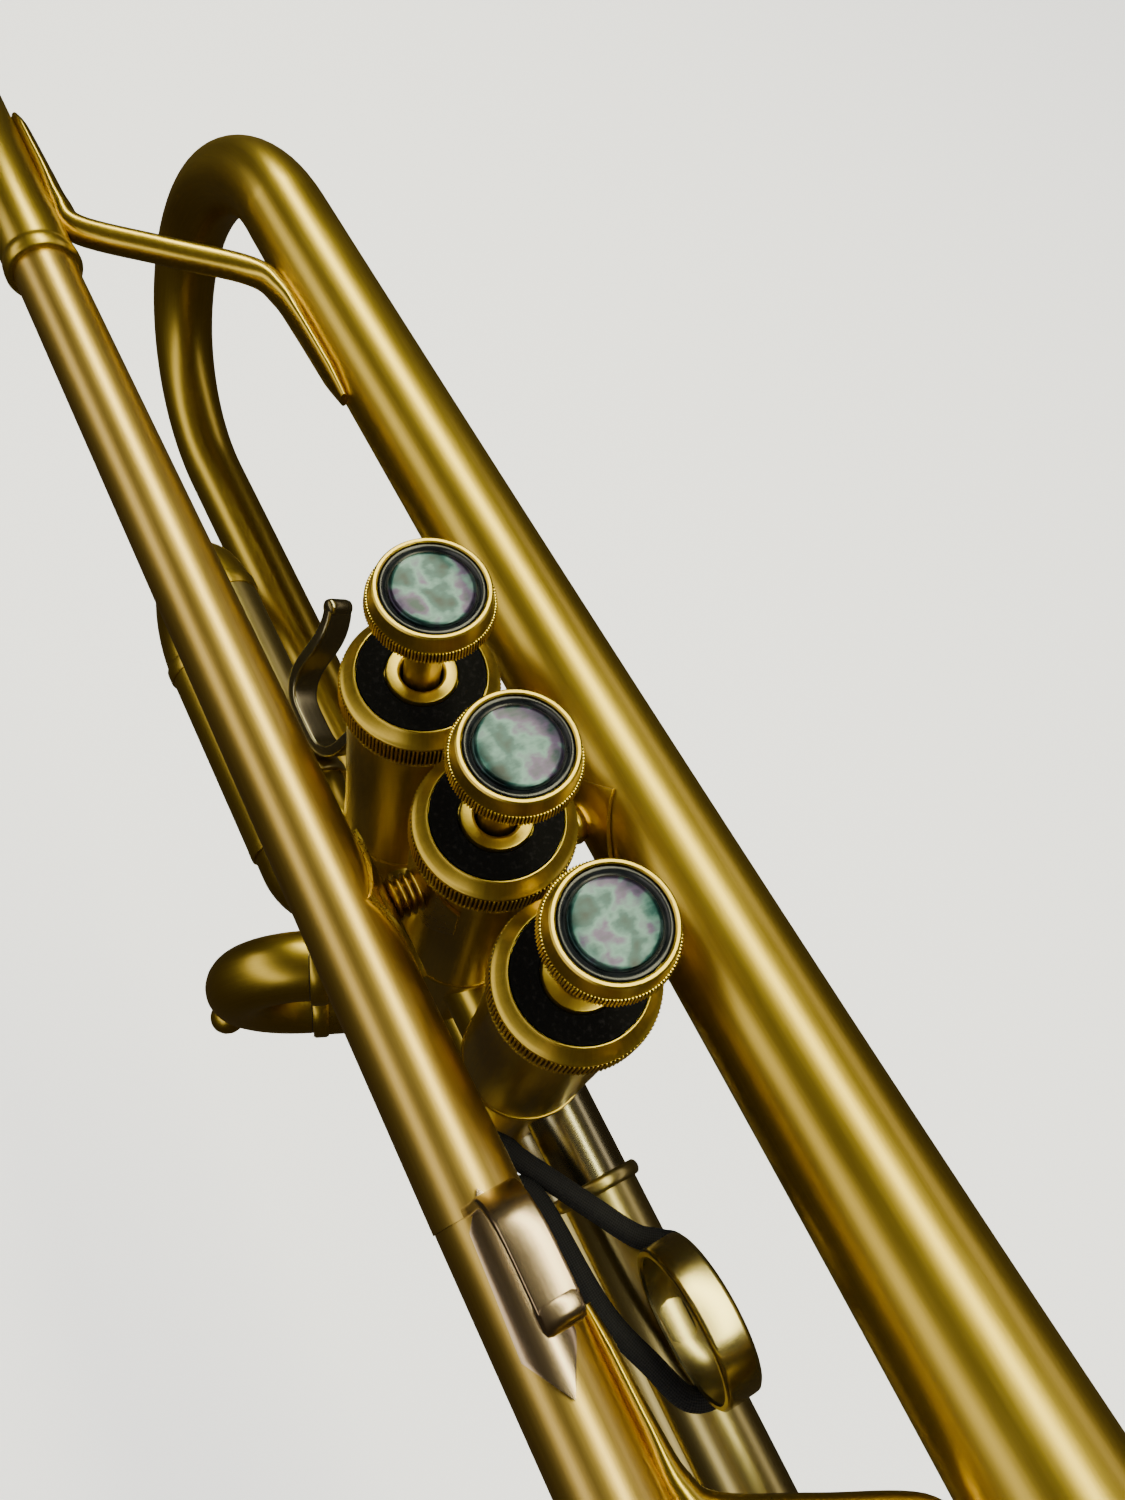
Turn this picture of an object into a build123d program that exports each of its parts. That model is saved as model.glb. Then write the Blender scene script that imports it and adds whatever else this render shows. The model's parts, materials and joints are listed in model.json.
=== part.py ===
"""B flat trumpet with three piston valves: every brass piece as its own solid, in millimetres.

Frame: origin at the centre of the second valve casing, +X towards the bell, +Y to the player's left,
+Z up the valves towards the finger buttons.
"""
from build123d import *
import math
import os

os.makedirs("parts", exist_ok=True)

# ---- driving dimensions ------------------------------------------------------------------------
BORE_R = 5.83              # 11.65 mm medium-large bore
VALVE_PITCH = 24.5         # distance between valve axes
VALVE_X = [-VALVE_PITCH, 0.0, VALVE_PITCH]

LEAD_Y = -22.4             # leadpipe axis
LEAD_Z = 35.6
LEAD_R_AT_0 = 6.40         # leadpipe radius at x = 0, and how it grows with x
LEAD_TAPER = 0.0058
LEAD_FRONT_X = 44.0        # the leadpipe ends in the upper tuning sleeve here
RECEIVER_FRONT_X = -135.0
RECEIVER_BACK_X = -192.0
RECEIVER_R = 6.5
SOCKET_R = 4.9             # mouthpiece socket
SOCKET_DEPTH = 24.0

BELL_Y = 27.4              # bell axis at x = 0
BELL_Z = 34.8
BELL_YAW = 1.03            # degrees that the bell leans away from the leadpipe
BELL_TAIL_X = -137.8
BELL_RIM_X = 292.0
BELL_RIM_R = 61.5
BELL_THROAT_R = 5.0        # horn law: r = throat + (rim - throat) * (scale / (distance + scale)) ^ power
BELL_SCALE = 24.0
BELL_POWER = 0.965
BELL_WALL = 0.6

BOW_LOW_Y = 3.94           # lower leg of the bell bow, into the first valve
BOW_LOW_Z = -34.75
BOW_LOW_R = 6.35

CASING_R = 10.6            # upper casing
CASING_LOW_R = 9.9         # lower casing
CASING_BORE_R = 8.75
CASING_TOP_Z = 46.5
CASING_STEP_Z = 2.0
CASING_BOTTOM_Z = -46.0
CAP_R = 11.95
CAP_EDGE_Z = 51.25
FELT_Z = 53.1
FELT_R = 9.45
BOSS_R = 5.2
BOSS_Z = 53.4
BOTTOM_CAP_Z = -54.0

BUTTON_Z = 75.0            # rim of the finger button at rest
BUTTON_RIM_R = 7.69
BUTTON_FLANGE_R = 8.8
BUTTON_BOTTOM_Z = 70.0
STEM_R = 2.7
PISTON_R = 8.70
PISTON_TOP_Z = 12.0
PISTON_BOTTOM_Z = -35.5
BARREL_R = 7.6
BARREL_TOP_Z = 43.0
GUIDE_Z = 15.0             # fixed valve guide that the barrel slides past
VALVE_STROKE = 16.4

SLEEVE_R = 6.85            # outer tube of the valve slides
LEG_R = 6.30               # inner tube of the valve slides
FIT = 0.05                 # radial running clearance
MAIN_SLEEVE_R = 6.45       # outer tube of the main tuning slide
MAIN_LEG_R = 6.05
MAIN_LOW_Y = -13.5         # lower leg of the main tuning slide
MAIN_LOW_Z = -36.5
MAIN_SLEEVE_FRONT_X = 150.0
MAIN_CROOK_X = 180.0       # where the crook starts to turn

FIRST_UP = (-11.3, -10.0)  # (y, z) of the first slide's legs
FIRST_LOW = (-18.3, -35.0)
FIRST_CROOK_X = -88.0
FIRST_SLEEVE_X = -40.5

SECOND_SWEEP = 22.0        # degrees that the second slide leans back
SECOND_BASE_X = 1.5
SECOND_UP_Z = -11.5
SECOND_LOW_Z = -37.5
SECOND_CROOK_S = 27.3      # distance along the slide where the crook turns
KNOB_DROP = 52.0           # degrees that the pull knob points down from the slide

THIRD_Y = 4.2
THIRD_UP_Z = -12.0
THIRD_LOW_Z = -38.0
THIRD_SLEEVE_X = 47.5
THIRD_CROOK_X = 118.0

RING_X = 72.7              # finger ring on the third slide
RING_Y = 4.4
RING_Z = 7.45
RING_R = 12.6
RING_WALL = 1.3
RING_WIDTH = 6.2

HOOK_WIDTH = 5.3           # little finger hook
HOOK_WALL = 1.4
HOOK_X = 43.6              # where the hook stands on its plate, and how far forward its rolled end is
HOOK_REACH = 14.0

BRACE_R = 2.8              # rod of the S shaped braces
TONGUE = 3.0               # thickness of their tongues


# ---- helpers -----------------------------------------------------------------------------------
def save(name, shape):
    """Write one node."""
    export_step(shape, f"parts/{name}.step")


def bar_x(x0, x1, y, z, r):
    """Solid rod along X."""
    plane = Plane(origin=(min(x0, x1), y, z), x_dir=(0, 1, 0), z_dir=(1, 0, 0))
    return extrude(plane * Circle(r), abs(x1 - x0))


def tube_x(x0, x1, y, z, r_out, r_in):
    """Tube along X."""
    return bar_x(x0, x1, y, z, r_out) - bar_x(x0 - 1, x1 + 1, y, z, r_in)


def bar_z(x, y, z0, z1, r):
    """Solid rod along Z."""
    return Pos(x, y, z0) * extrude(Circle(r), z1 - z0)


def bar_between(a, b, r):
    """Solid rod from point a to point b."""
    a, b = Vector(*a), Vector(*b)
    return extrude(Plane(origin=a, z_dir=b - a) * Circle(r), (b - a).length)


def turned(points, x=0.0, y=0.0):
    """Solid of revolution about a vertical axis from (radius, z) points."""
    face = make_face(Polyline(*[(r, 0, z) for r, z in points], close=True))
    return Pos(x, y, 0) * revolve(face, Axis.Z, 360)


def along(path, r_out, r_in):
    """Tube of constant section along a smooth path."""
    start = Plane(origin=path @ 0, z_dir=path % 0)
    outer = sweep(start * Circle(r_out), path=path)
    return outer - sweep(start * Circle(r_in), path=path)


def u_bend(p_up, p_low, x, forward, straight=0.0):
    """Path of a crook: from the upper leg at x round to the lower leg, turning at x + straight."""
    up, low = Vector(x, *p_up), Vector(x, *p_low)
    reach = Vector(forward, 0, 0)
    mid = (up + low) * 0.5
    radius = (up - low).length / 2
    tip = mid + reach * (radius + straight)
    arc = ThreePointArc(up + reach * straight, tip, low + reach * straight)
    if straight == 0:
        return arc
    return Wire([Line(up, up + reach * straight), arc, Line(low + reach * straight, low)])


def elbow(x_far, x_turn, y, z, radius, inward):
    """Path of a leg that runs along X at (y, z) and then turns a quarter circle towards +Y."""
    bend = Vector(x_turn, y + radius, z)
    end = Vector(x_turn + inward * radius, y + radius, z)
    half = bend + Vector(inward * math.sin(math.pi / 4), -math.cos(math.pi / 4), 0) * radius
    return Wire([Line((x_far, y, z), (x_turn, y, z)), ThreePointArc((x_turn, y, z), half, end)])


def casing_plug(x):
    """The whole outer shape of one casing, used to trim what is soldered to it."""
    return bar_z(x, 0, CASING_STEP_Z, CASING_TOP_Z, CASING_R) + bar_z(
        x, 0, CASING_BOTTOM_Z, CASING_STEP_Z, CASING_LOW_R)


def lead_radius(x):
    """Outer radius of the leadpipe."""
    return LEAD_R_AT_0 + LEAD_TAPER * x


def bell_radius(x):
    """Outer radius of the bell at distance x along its own axis."""
    gap = BELL_RIM_X - x
    return BELL_THROAT_R + (BELL_RIM_R - BELL_THROAT_R) * (BELL_SCALE / (gap + BELL_SCALE)) ** BELL_POWER


def bell_y(x):
    """Height in Y of the bell's axis."""
    return BELL_Y + math.tan(math.radians(BELL_YAW)) * x


def horn(shrink, x_start, x_end, count):
    """Solid of revolution under the horn law, made smaller by shrink."""
    xs = [x_start + (x_end - x_start) * (1 - (1 - i / (count - 1)) ** 2) for i in range(count)]
    edge = Spline(*[(x, bell_radius(x) - shrink, 0) for x in xs])
    rest = Polyline((xs[-1], bell_radius(xs[-1]) - shrink, 0), (xs[-1], 0, 0), (xs[0], 0, 0),
                    (xs[0], bell_radius(xs[0]) - shrink, 0))
    solid = revolve(make_face(edge + rest), Axis.X, 360)
    return Pos(0, BELL_Y, BELL_Z) * Rot(0, 0, BELL_YAW) * solid


def lens_plate(y, z, r_in, r_out, x_mid, half_length, half_width, toward):
    """Diamond plate wrapped on a tube along X, on its +Y or -Y side."""
    shell = tube_x(x_mid - half_length, x_mid + half_length, y, z, r_out, r_in)
    corners = [(x_mid - half_length, z), (x_mid, z + half_width), (x_mid + half_length, z),
               (x_mid, z - half_width)]
    face = make_face(Polyline(*[(x, y, zz) for x, zz in corners], close=True))
    return shell & extrude(face, 30, dir=(0, toward, 0))


# ---- mouthpipe side ----------------------------------------------------------------------------
def leadpipe():
    """Tapered mouthpipe."""
    x0, x1 = RECEIVER_FRONT_X - 18, LEAD_FRONT_X
    seat = lead_radius(RECEIVER_FRONT_X)
    outline = [(x0, seat), (RECEIVER_FRONT_X, seat), (x1, lead_radius(x1)), (x1, BORE_R), (x0, 4.4)]
    face = make_face(Polyline(*[(x, r, 0) for x, r in outline], close=True))
    return Pos(0, LEAD_Y, LEAD_Z) * revolve(face, Axis.X, 360)


def mouthpiece_receiver():
    """Receiver with its mouthpiece socket, rear lip and front bead ring."""
    back, front = RECEIVER_BACK_X, RECEIVER_FRONT_X
    seat = lead_radius(RECEIVER_FRONT_X) + 0.02
    body = bar_x(back, front - 3, LEAD_Y, LEAD_Z, RECEIVER_R)
    body += bar_x(front - 3, front, LEAD_Y, LEAD_Z, RECEIVER_R + 0.6)
    body += bar_x(back, back + 3.5, LEAD_Y, LEAD_Z, RECEIVER_R + 0.7)
    body = fillet(body.edges().filter_by(GeomType.CIRCLE).sort_by(Axis.X)[-1:], 0.5)
    body -= bar_x(back - 1, back + SOCKET_DEPTH, LEAD_Y, LEAD_Z, SOCKET_R)
    body -= bar_x(back, front, LEAD_Y, LEAD_Z, 4.4)
    return body - bar_x(front - 18.2, front + 1, LEAD_Y, LEAD_Z, seat)


def main_sleeve(y, z, x0):
    """Outer tube of the main tuning slide with a ferrule ring at its open end."""
    tube = tube_x(x0, MAIN_SLEEVE_FRONT_X, y, z, MAIN_SLEEVE_R, MAIN_LEG_R + FIT)
    ring = tube_x(MAIN_SLEEVE_FRONT_X - 5, MAIN_SLEEVE_FRONT_X, y, z, MAIN_SLEEVE_R + 0.7, MAIN_LEG_R + FIT)
    return tube + ring


def main_knuckle():
    """Lower main tube, from the third valve's right side to the lower tuning sleeve."""
    path = elbow(60.0, VALVE_X[2] + 10, MAIN_LOW_Y, MAIN_LOW_Z, 10.0, -1)
    tube = along(path, MAIN_SLEEVE_R, BORE_R)
    ring = tube_x(55, 60, MAIN_LOW_Y, MAIN_LOW_Z, MAIN_SLEEVE_R + 0.8, MAIN_SLEEVE_R - 0.1)
    return (tube + ring) - casing_plug(VALVE_X[2])


def main_legs():
    """The two inner tubes of the main tuning slide."""
    legs = [tube_x(88, MAIN_SLEEVE_FRONT_X + 9, y, z, MAIN_LEG_R, 5.6)
            for y, z in ((LEAD_Y, LEAD_Z), (MAIN_LOW_Y, MAIN_LOW_Z))]
    return Compound(legs)


def main_crook():
    """Crook of the main tuning slide with a socket on each end."""
    x0 = MAIN_SLEEVE_FRONT_X + 9.05
    up, low = (LEAD_Y, LEAD_Z), (MAIN_LOW_Y, MAIN_LOW_Z)
    body = along(u_bend(up, low, x0, 1, MAIN_CROOK_X - x0), MAIN_SLEEVE_R, 5.6)
    for y, z in (up, low):
        body += tube_x(MAIN_SLEEVE_FRONT_X + 0.6, x0, y, z, MAIN_SLEEVE_R + 0.6, MAIN_LEG_R + 0.01)
    return body - bar_z(WATER_X, MAIN_LOW_Y, MAIN_LOW_Z - 12, MAIN_LOW_Z, 1.6)


def stay(x, top, low, r, trims):
    """Upright rod between two tubes with a collar at each end, trimmed to the tubes."""
    a, b = Vector(x, *top), Vector(x, *low)
    run = (b - a).normalized()
    rod = bar_between(a, b, r)
    for end, sign, tube_r in ((a, 1, 7.0), (b, -1, 7.0)):
        start = end + run * (sign * (tube_r - 1.6))
        stop = end + run * (sign * (tube_r + 1.2))
        rod += bar_between(start, stop, r + 1.2)
    for trim in trims:
        rod -= trim
    return rod


# ---- water key ---------------------------------------------------------------------------------
WATER_X = 171.0
WATER_PIVOT_X = 160.0
WATER_PIVOT_Z = MAIN_LOW_Z - 10.5
WATER_TAIL_DROP = 7.8      # degrees that the thumb end of the lever slopes down


def water_nipple():
    """Water key nipple under the lower leg of the main slide."""
    stub = bar_z(WATER_X, MAIN_LOW_Y, MAIN_LOW_Z - 9.4, MAIN_LOW_Z - 4, 3.0)
    stub -= bar_z(WATER_X, MAIN_LOW_Y, MAIN_LOW_Z - 12, MAIN_LOW_Z, 1.6)
    return stub - bar_x(150, 185, MAIN_LOW_Y, MAIN_LOW_Z, MAIN_SLEEVE_R)


def water_bracket():
    """Two ears that hold the water key's pivot."""
    ears = None
    for side in (-1, 1):
        ear = Pos(WATER_PIVOT_X, MAIN_LOW_Y + side * 4.2, WATER_PIVOT_Z + 2.6) * Box(5, 1.4, 9.4)
        ears = ear if ears is None else ears + ear
    ears -= bar_between((WATER_PIVOT_X, MAIN_LOW_Y - 8, WATER_PIVOT_Z),
                        (WATER_PIVOT_X, MAIN_LOW_Y + 8, WATER_PIVOT_Z), 1.05)
    return ears - bar_x(150, 185, MAIN_LOW_Y, MAIN_LOW_Z, MAIN_SLEEVE_R + 0.6)


def water_key():
    """Lever with a barrel and its pivot rod, a cork cup and a thumb pad."""
    z = WATER_PIVOT_Z
    lever = bar_between((WATER_PIVOT_X, MAIN_LOW_Y - 3.2, z), (WATER_PIVOT_X, MAIN_LOW_Y + 3.2, z), 2.0)
    lever += bar_between((WATER_PIVOT_X, MAIN_LOW_Y - 5.4, z), (WATER_PIVOT_X, MAIN_LOW_Y + 5.4, z), 0.98)
    lever += Pos((WATER_PIVOT_X + WATER_X) / 2, MAIN_LOW_Y, z - 1.6) * Box(WATER_X - WATER_PIVOT_X, 3.4, 1.6)
    lever += Pos(WATER_PIVOT_X - 11, MAIN_LOW_Y, z - 3.1) * Rot(0, -WATER_TAIL_DROP, 0) * Box(23, 3.4, 1.6)
    lever += bar_z(WATER_PIVOT_X - 24, MAIN_LOW_Y, z - 5.6, z - 3.8, 4.6)
    lever += bar_z(WATER_X, MAIN_LOW_Y, z - 2.9, z - 0.8, 4.2)
    return lever


def water_cork():
    """Cork that seals the nipple."""
    return bar_z(WATER_X, MAIN_LOW_Y, WATER_PIVOT_Z - 0.8, MAIN_LOW_Z - 9.4, 3.4)


# ---- bell side ---------------------------------------------------------------------------------
def bell():
    """Bell with its long tapered tail and rolled rim."""
    body = horn(0.0, BELL_TAIL_X, BELL_RIM_X, 16) - horn(BELL_WALL, BELL_TAIL_X - 0.01, BELL_RIM_X + 0.01, 16)
    rim = Pos(0, BELL_Y, BELL_Z) * Rot(0, 0, BELL_YAW) * Pos(BELL_RIM_X - 1.0, 0, 0) * Rot(0, 90, 0) * Torus(
        BELL_RIM_R - 1.2, 1.5)
    cut = Pos(BELL_TAIL_X - 10 + 0.02, bell_y(BELL_TAIL_X), BELL_Z) * Box(20, 40, 40)
    return (body + rim) - cut


def bow_sections(shrink_low, shrink_top):
    """Circles along the bell bow, from the lower leg round to the bell's tail."""
    low = Vector(BELL_TAIL_X, BOW_LOW_Y, BOW_LOW_Z)
    top = Vector(BELL_TAIL_X, bell_y(BELL_TAIL_X), BELL_Z)
    mid, half = (low + top) * 0.5, (top - low) * 0.5
    back = Vector(-1, 0, 0)
    rings = []
    count = 9
    for i in range(count):
        turn = math.pi * i / (count - 1)
        centre = mid - half * math.cos(turn) + back * (half.length * math.sin(turn))
        heading = half.normalized() * math.sin(turn) + back * math.cos(turn)
        share = i / (count - 1)
        top_r = bell_radius(BELL_TAIL_X)
        r = BOW_LOW_R + (top_r - BOW_LOW_R) * share ** 1.6 - shrink_low - (shrink_top - shrink_low) * share
        rings.append(Plane(origin=centre, x_dir=half.cross(back), z_dir=heading) * Circle(r))
    return rings


def bell_bow():
    """Bell bow and its lower leg into the first valve."""
    bow = loft(bow_sections(0, 0)) - loft(bow_sections(BOW_LOW_R - BORE_R, BELL_WALL))
    leg = tube_x(BELL_TAIL_X, VALVE_X[0], BOW_LOW_Y, BOW_LOW_Z, BOW_LOW_R, BORE_R)
    leg += tube_x(-40, VALVE_X[0], BOW_LOW_Y, BOW_LOW_Z, BOW_LOW_R + 0.8, BORE_R)
    return bow + (leg - casing_plug(VALVE_X[0]))


# ---- braces ------------------------------------------------------------------------------------
def s_brace(points, turn_r, tongues):
    """Rod between the mouthpipe side and the bell, flattened into a tongue along each tube."""
    path = FilletPolyline(*points, radius=turn_r)
    rod = sweep(Plane(origin=path @ 0, z_dir=path % 0) * Circle(BRACE_R), path=path)
    for x0, x1, y, tilt in tongues:
        plate = Box(x1 - x0, TONGUE, 7.0)
        plate = fillet(plate.edges().filter_by(Axis.Y), 3.0)
        rod += Pos((x0 + x1) / 2, y, points[0][2]) * Rot(0, 0, tilt) * plate
    return rod


def rear_brace():
    """S shaped brace from the receiver to the bell's tail."""
    z = LEAD_Z - 0.4
    shape = s_brace([(-172, -14.7, z), (-146, -14.7, z), (-123, 15.3, z), (-96, 15.9, z)], 7.0,
                    [(-178, -150, -15.1, 0), (-119, -90, 16.2, BELL_YAW)])
    shape -= bar_x(RECEIVER_BACK_X, RECEIVER_FRONT_X, LEAD_Y, LEAD_Z, RECEIVER_R + 0.02)
    shape -= bar_x(RECEIVER_FRONT_X - 3.02, RECEIVER_FRONT_X + 0.02, LEAD_Y, LEAD_Z, RECEIVER_R + 0.65)
    return shape - horn(-0.02, -130, -80, 5)


def front_brace():
    """S shaped brace from the upper tuning sleeve to the bell."""
    z = LEAD_Z - 0.2
    shape = s_brace([(66, -14.9, z), (87, -14.9, z), (104, 14.8, z), (132, 15.2, z)], 6.5,
                    [(60, 84, -15.2, 0), (108, 136, 15.9, -1.6)])
    shape -= bar_x(50, 100, LEAD_Y, LEAD_Z, MAIN_SLEEVE_R + 0.02)
    return shape - horn(-0.02, 90, 150, 6)


def turned_post(y0, y1, z, rings, r):
    """Turned post along Y with evenly spaced rings."""
    post = bar_between((0, y0, z), (0, y1, z), r)
    for i in range(rings):
        y = y0 + (y1 - y0) * (i + 0.5) / rings
        post += bar_between((0, y - 0.35, z), (0, y + 0.35, z), r + 0.7)
    return post


def casing_plate(side, z):
    """Plate with cut corners wrapped on the second casing."""
    shell = bar_z(0, 0, z - 9, z + 8.6, CASING_R + 0.6) - bar_z(0, 0, z - 10, z + 10, CASING_R + 0.02)
    plate = Pos(0, side * 10, z) * Box(15, 14, 17)
    return shell & chamfer(plate.edges().filter_by(Axis.Y), 4.0)


def leadpipe_brace():
    """Post and plates between the leadpipe and the second valve."""
    body = turned_post(-15.2, -10.9, LEAD_Z, 4, 2.6)
    body += lens_plate(LEAD_Y, LEAD_Z, 6.5, 7.2, 0, 12.5, 5.9, 1) + casing_plate(-1, LEAD_Z)
    body -= casing_plug(VALVE_X[1])
    return body - bar_x(-20, 20, LEAD_Y, LEAD_Z, 6.49)


def bell_brace():
    """Post and plates between the second valve and the bell."""
    body = turned_post(10.9, 17.2, BELL_Z, 2, 2.8)
    body += lens_plate(BELL_Y, BELL_Z, 9.96, 10.6, 0, 12.5, 8.4, -1) + casing_plate(1, BELL_Z)
    body -= casing_plug(VALVE_X[1])
    return body - bar_x(-20, 20, BELL_Y, BELL_Z, 9.95)


# ---- little finger hook ------------------------------------------------------------------------
def hook_plate():
    """Kite shaped plate on top of the leadpipe joint."""
    outline = [(41.7, 0), (46.0, -3.0), (62.0, -3.7), (68.5, 0), (62.0, 3.7), (46.0, 3.0)]
    face = make_face(Polyline(*[(x, LEAD_Y + y, LEAD_Z) for x, y in outline], close=True))
    shell = tube_x(41, 69, LEAD_Y, LEAD_Z, 7.35, lead_radius(LEAD_FRONT_X) + 0.02)
    return shell & extrude(face, 12, dir=(0, 0, 1))


def little_finger_hook():
    """Flat hook band with a rolled end."""
    foot = LEAD_Z + 7.36
    tip = HOOK_X + HOOK_REACH
    path = FilletPolyline((HOOK_X, LEAD_Y, foot), (HOOK_X, LEAD_Y, 62.2), (tip - 0.5, LEAD_Y, 62.2), radius=7.5)
    start = Plane(origin=path @ 0, x_dir=(0, 1, 0), z_dir=path % 0)
    band = sweep(start * Rectangle(HOOK_WIDTH, HOOK_WALL), path=path)
    bead = bar_between((tip, LEAD_Y - HOOK_WIDTH / 2, 61.2), (tip, LEAD_Y + HOOK_WIDTH / 2, 61.2), 2.1)
    return band + bead


# ---- valves ------------------------------------------------------------------------------------
def casing(x):
    """Valve casing: wide upper part, slimmer lower part, open at both ends."""
    body = casing_plug(x)
    body += bar_z(x, 0, CASING_STEP_Z - 0.8, CASING_STEP_Z + 0.8, CASING_R + 0.3)
    return body - bar_z(x, 0, CASING_BOTTOM_Z - 1, CASING_TOP_Z + 1, CASING_BORE_R)


def top_cap(x):
    """Top cap: knurled band, sloping shoulder, felt recess and centre boss."""
    return turned([
        (11.3, 44.8), (CAP_R, 46.4), (CAP_R, 50.6), (11.6, CAP_EDGE_Z), (9.7, FELT_Z), (FELT_R + 0.1, FELT_Z),
        (FELT_R + 0.1, 51.5), (BOSS_R + 0.1, 51.5), (BOSS_R, BOSS_Z), (3.4, BOSS_Z), (3.0, 53.0), (3.0, 48.5),
        (9.0, 48.5), (9.0, CASING_TOP_Z + 0.05), (CASING_R + 0.05, CASING_TOP_Z + 0.05), (CASING_R + 0.05, 44.8),
    ], x)


def top_felt(x):
    """Black felt ring in the cap's recess."""
    return turned([(BOSS_R + 0.15, 51.52), (FELT_R, 51.52), (FELT_R, FELT_Z - 0.1), (7.3, 52.7),
                   (BOSS_R + 0.15, FELT_Z - 0.1)], x)


def bottom_cap(x):
    """Bottom cap with a vent hole."""
    z = BOTTOM_CAP_Z
    return turned([
        (1.6, z + 0.6), (4.0, z), (9.6, z), (11.0, z + 1.2), (11.0, -45.3), (10.6, -44.8),
        (CASING_LOW_R + 0.05, -44.8), (CASING_LOW_R + 0.05, CASING_BOTTOM_Z - 0.05),
        (9.0, CASING_BOTTOM_Z - 0.05), (9.0, z + 1.5), (1.6, z + 1.5),
    ], x)


def crossovers():
    """Short tubes that join neighbouring casings."""
    stubs = []
    for left, right, heights in ((0, 1, (-26.0, -6.0)), (1, 2, (-29.0, -9.0))):
        for z in heights:
            stub = tube_x(VALVE_X[left], VALVE_X[right], 0, z, LEG_R, BORE_R)
            stubs.append(stub - casing_plug(VALVE_X[left]) - casing_plug(VALVE_X[right]))
    return Compound(stubs)


def valve_guide(x):
    """Fixed disc in the barrel, with a key each side that keeps the piston from turning."""
    key = Pos(x, 0, GUIDE_Z + 1) * Box(3.0, 2 * CASING_BORE_R, 2.0)
    key = key & bar_z(x, 0, GUIDE_Z, GUIDE_Z + 2, CASING_BORE_R - 0.01)
    return (key + bar_z(x, 0, GUIDE_Z, GUIDE_Z + 2, BARREL_R - 1.1)) - bar_z(x, 0, 10, 20, 3.0)


def piston(x):
    """Piston with three air passages and the slotted spring barrel above it."""
    solid = bar_z(x, 0, PISTON_BOTTOM_Z, PISTON_TOP_Z, PISTON_R)
    shell = solid - bar_z(x, 0, PISTON_BOTTOM_Z + 1, PISTON_TOP_Z - 1, PISTON_R - 0.7)
    for z, lean in ((-24.0, 0.0), (-11.0, 50.0), (2.0, -50.0)):
        bore = Pos(x, 0, z) * Rot(0, 0, lean) * Pos(-15, 0, 0) * bar_x(0, 30, 0, 0, 5.2)
        wall = Pos(x, 0, z) * Rot(0, 0, lean) * Pos(-15, 0, 0) * bar_x(0, 30, 0, 0, 5.7)
        shell = (shell + (wall & solid)) - bore
    barrel = bar_z(x, 0, PISTON_TOP_Z - 0.5, BARREL_TOP_Z, BARREL_R)
    barrel -= bar_z(x, 0, PISTON_TOP_Z, BARREL_TOP_Z - 1.2, BARREL_R - 0.8)
    barrel -= Pos(x, 0, (GUIDE_Z - 1 + 34.4) / 2) * Box(3.6, 20, 34.4 - GUIDE_Z + 1)
    return shell + barrel


def valve_stem(x):
    """Stem from the spring barrel to the button."""
    return bar_z(x, 0, BARREL_TOP_Z, BUTTON_BOTTOM_Z, STEM_R)


def finger_button(x):
    """Finger button cup with a knurled flange."""
    z = BUTTON_Z
    return turned([
        (0, BUTTON_BOTTOM_Z), (8.2, BUTTON_BOTTOM_Z), (BUTTON_FLANGE_R, 70.7), (BUTTON_FLANGE_R, 72.0),
        (8.35, 72.7), (BUTTON_RIM_R + 0.25, 74.4), (BUTTON_RIM_R, z), (7.1, z), (7.0, 73.0), (0, 73.0),
    ], x)


def pearl_insert(x):
    """Mother of pearl insert, slightly domed."""
    return turned([(0, 73.02), (6.95, 73.02), (6.95, 74.3), (6.5, 74.75), (0, 74.95)], x)


def valve_spring(x):
    """Outer envelope of the return spring between the guide and the top of the barrel."""
    z0, z1 = GUIDE_Z + 2.02, BARREL_TOP_Z - 1.22
    return bar_z(x, 0, z0, z1, 6.5) - bar_z(x, 0, z0, z1, 5.3)


# ---- first slide -------------------------------------------------------------------------------
def first_legs():
    """Fixed inner legs of the first slide, each with its elbow into the first valve."""
    upper = along(elbow(-84, VALVE_X[0] - 10.5, FIRST_UP[0], FIRST_UP[1], 10.5, 1), LEG_R, BORE_R)
    lower = along(elbow(-84, VALVE_X[0] - 11.5, FIRST_LOW[0], FIRST_LOW[1], 12.5, 1), LEG_R, BORE_R)
    return Compound([leg - casing_plug(VALVE_X[0]) for leg in (upper, lower)])


def first_sleeve(y, z):
    """Moving outer tube of the first slide."""
    tube = tube_x(FIRST_CROOK_X, FIRST_SLEEVE_X, y, z, SLEEVE_R, LEG_R + FIT)
    return tube + tube_x(FIRST_SLEEVE_X - 2.5, FIRST_SLEEVE_X, y, z, SLEEVE_R + 0.5, LEG_R + FIT)


def first_crook():
    """Crook of the first slide."""
    return along(u_bend(FIRST_UP, FIRST_LOW, FIRST_CROOK_X, -1), SLEEVE_R, BORE_R)


SADDLE_TILT = 33.0         # degrees that the thumb saddle leans to the player's left
SADDLE_X = -50.2


def saddle_place():
    """Frame at the top of the upper sleeve, with +Y across the saddle and +Z up its prongs."""
    return Pos(SADDLE_X, FIRST_UP[0], FIRST_UP[1]) * Rot(-SADDLE_TILT, 0, 0)


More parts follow.
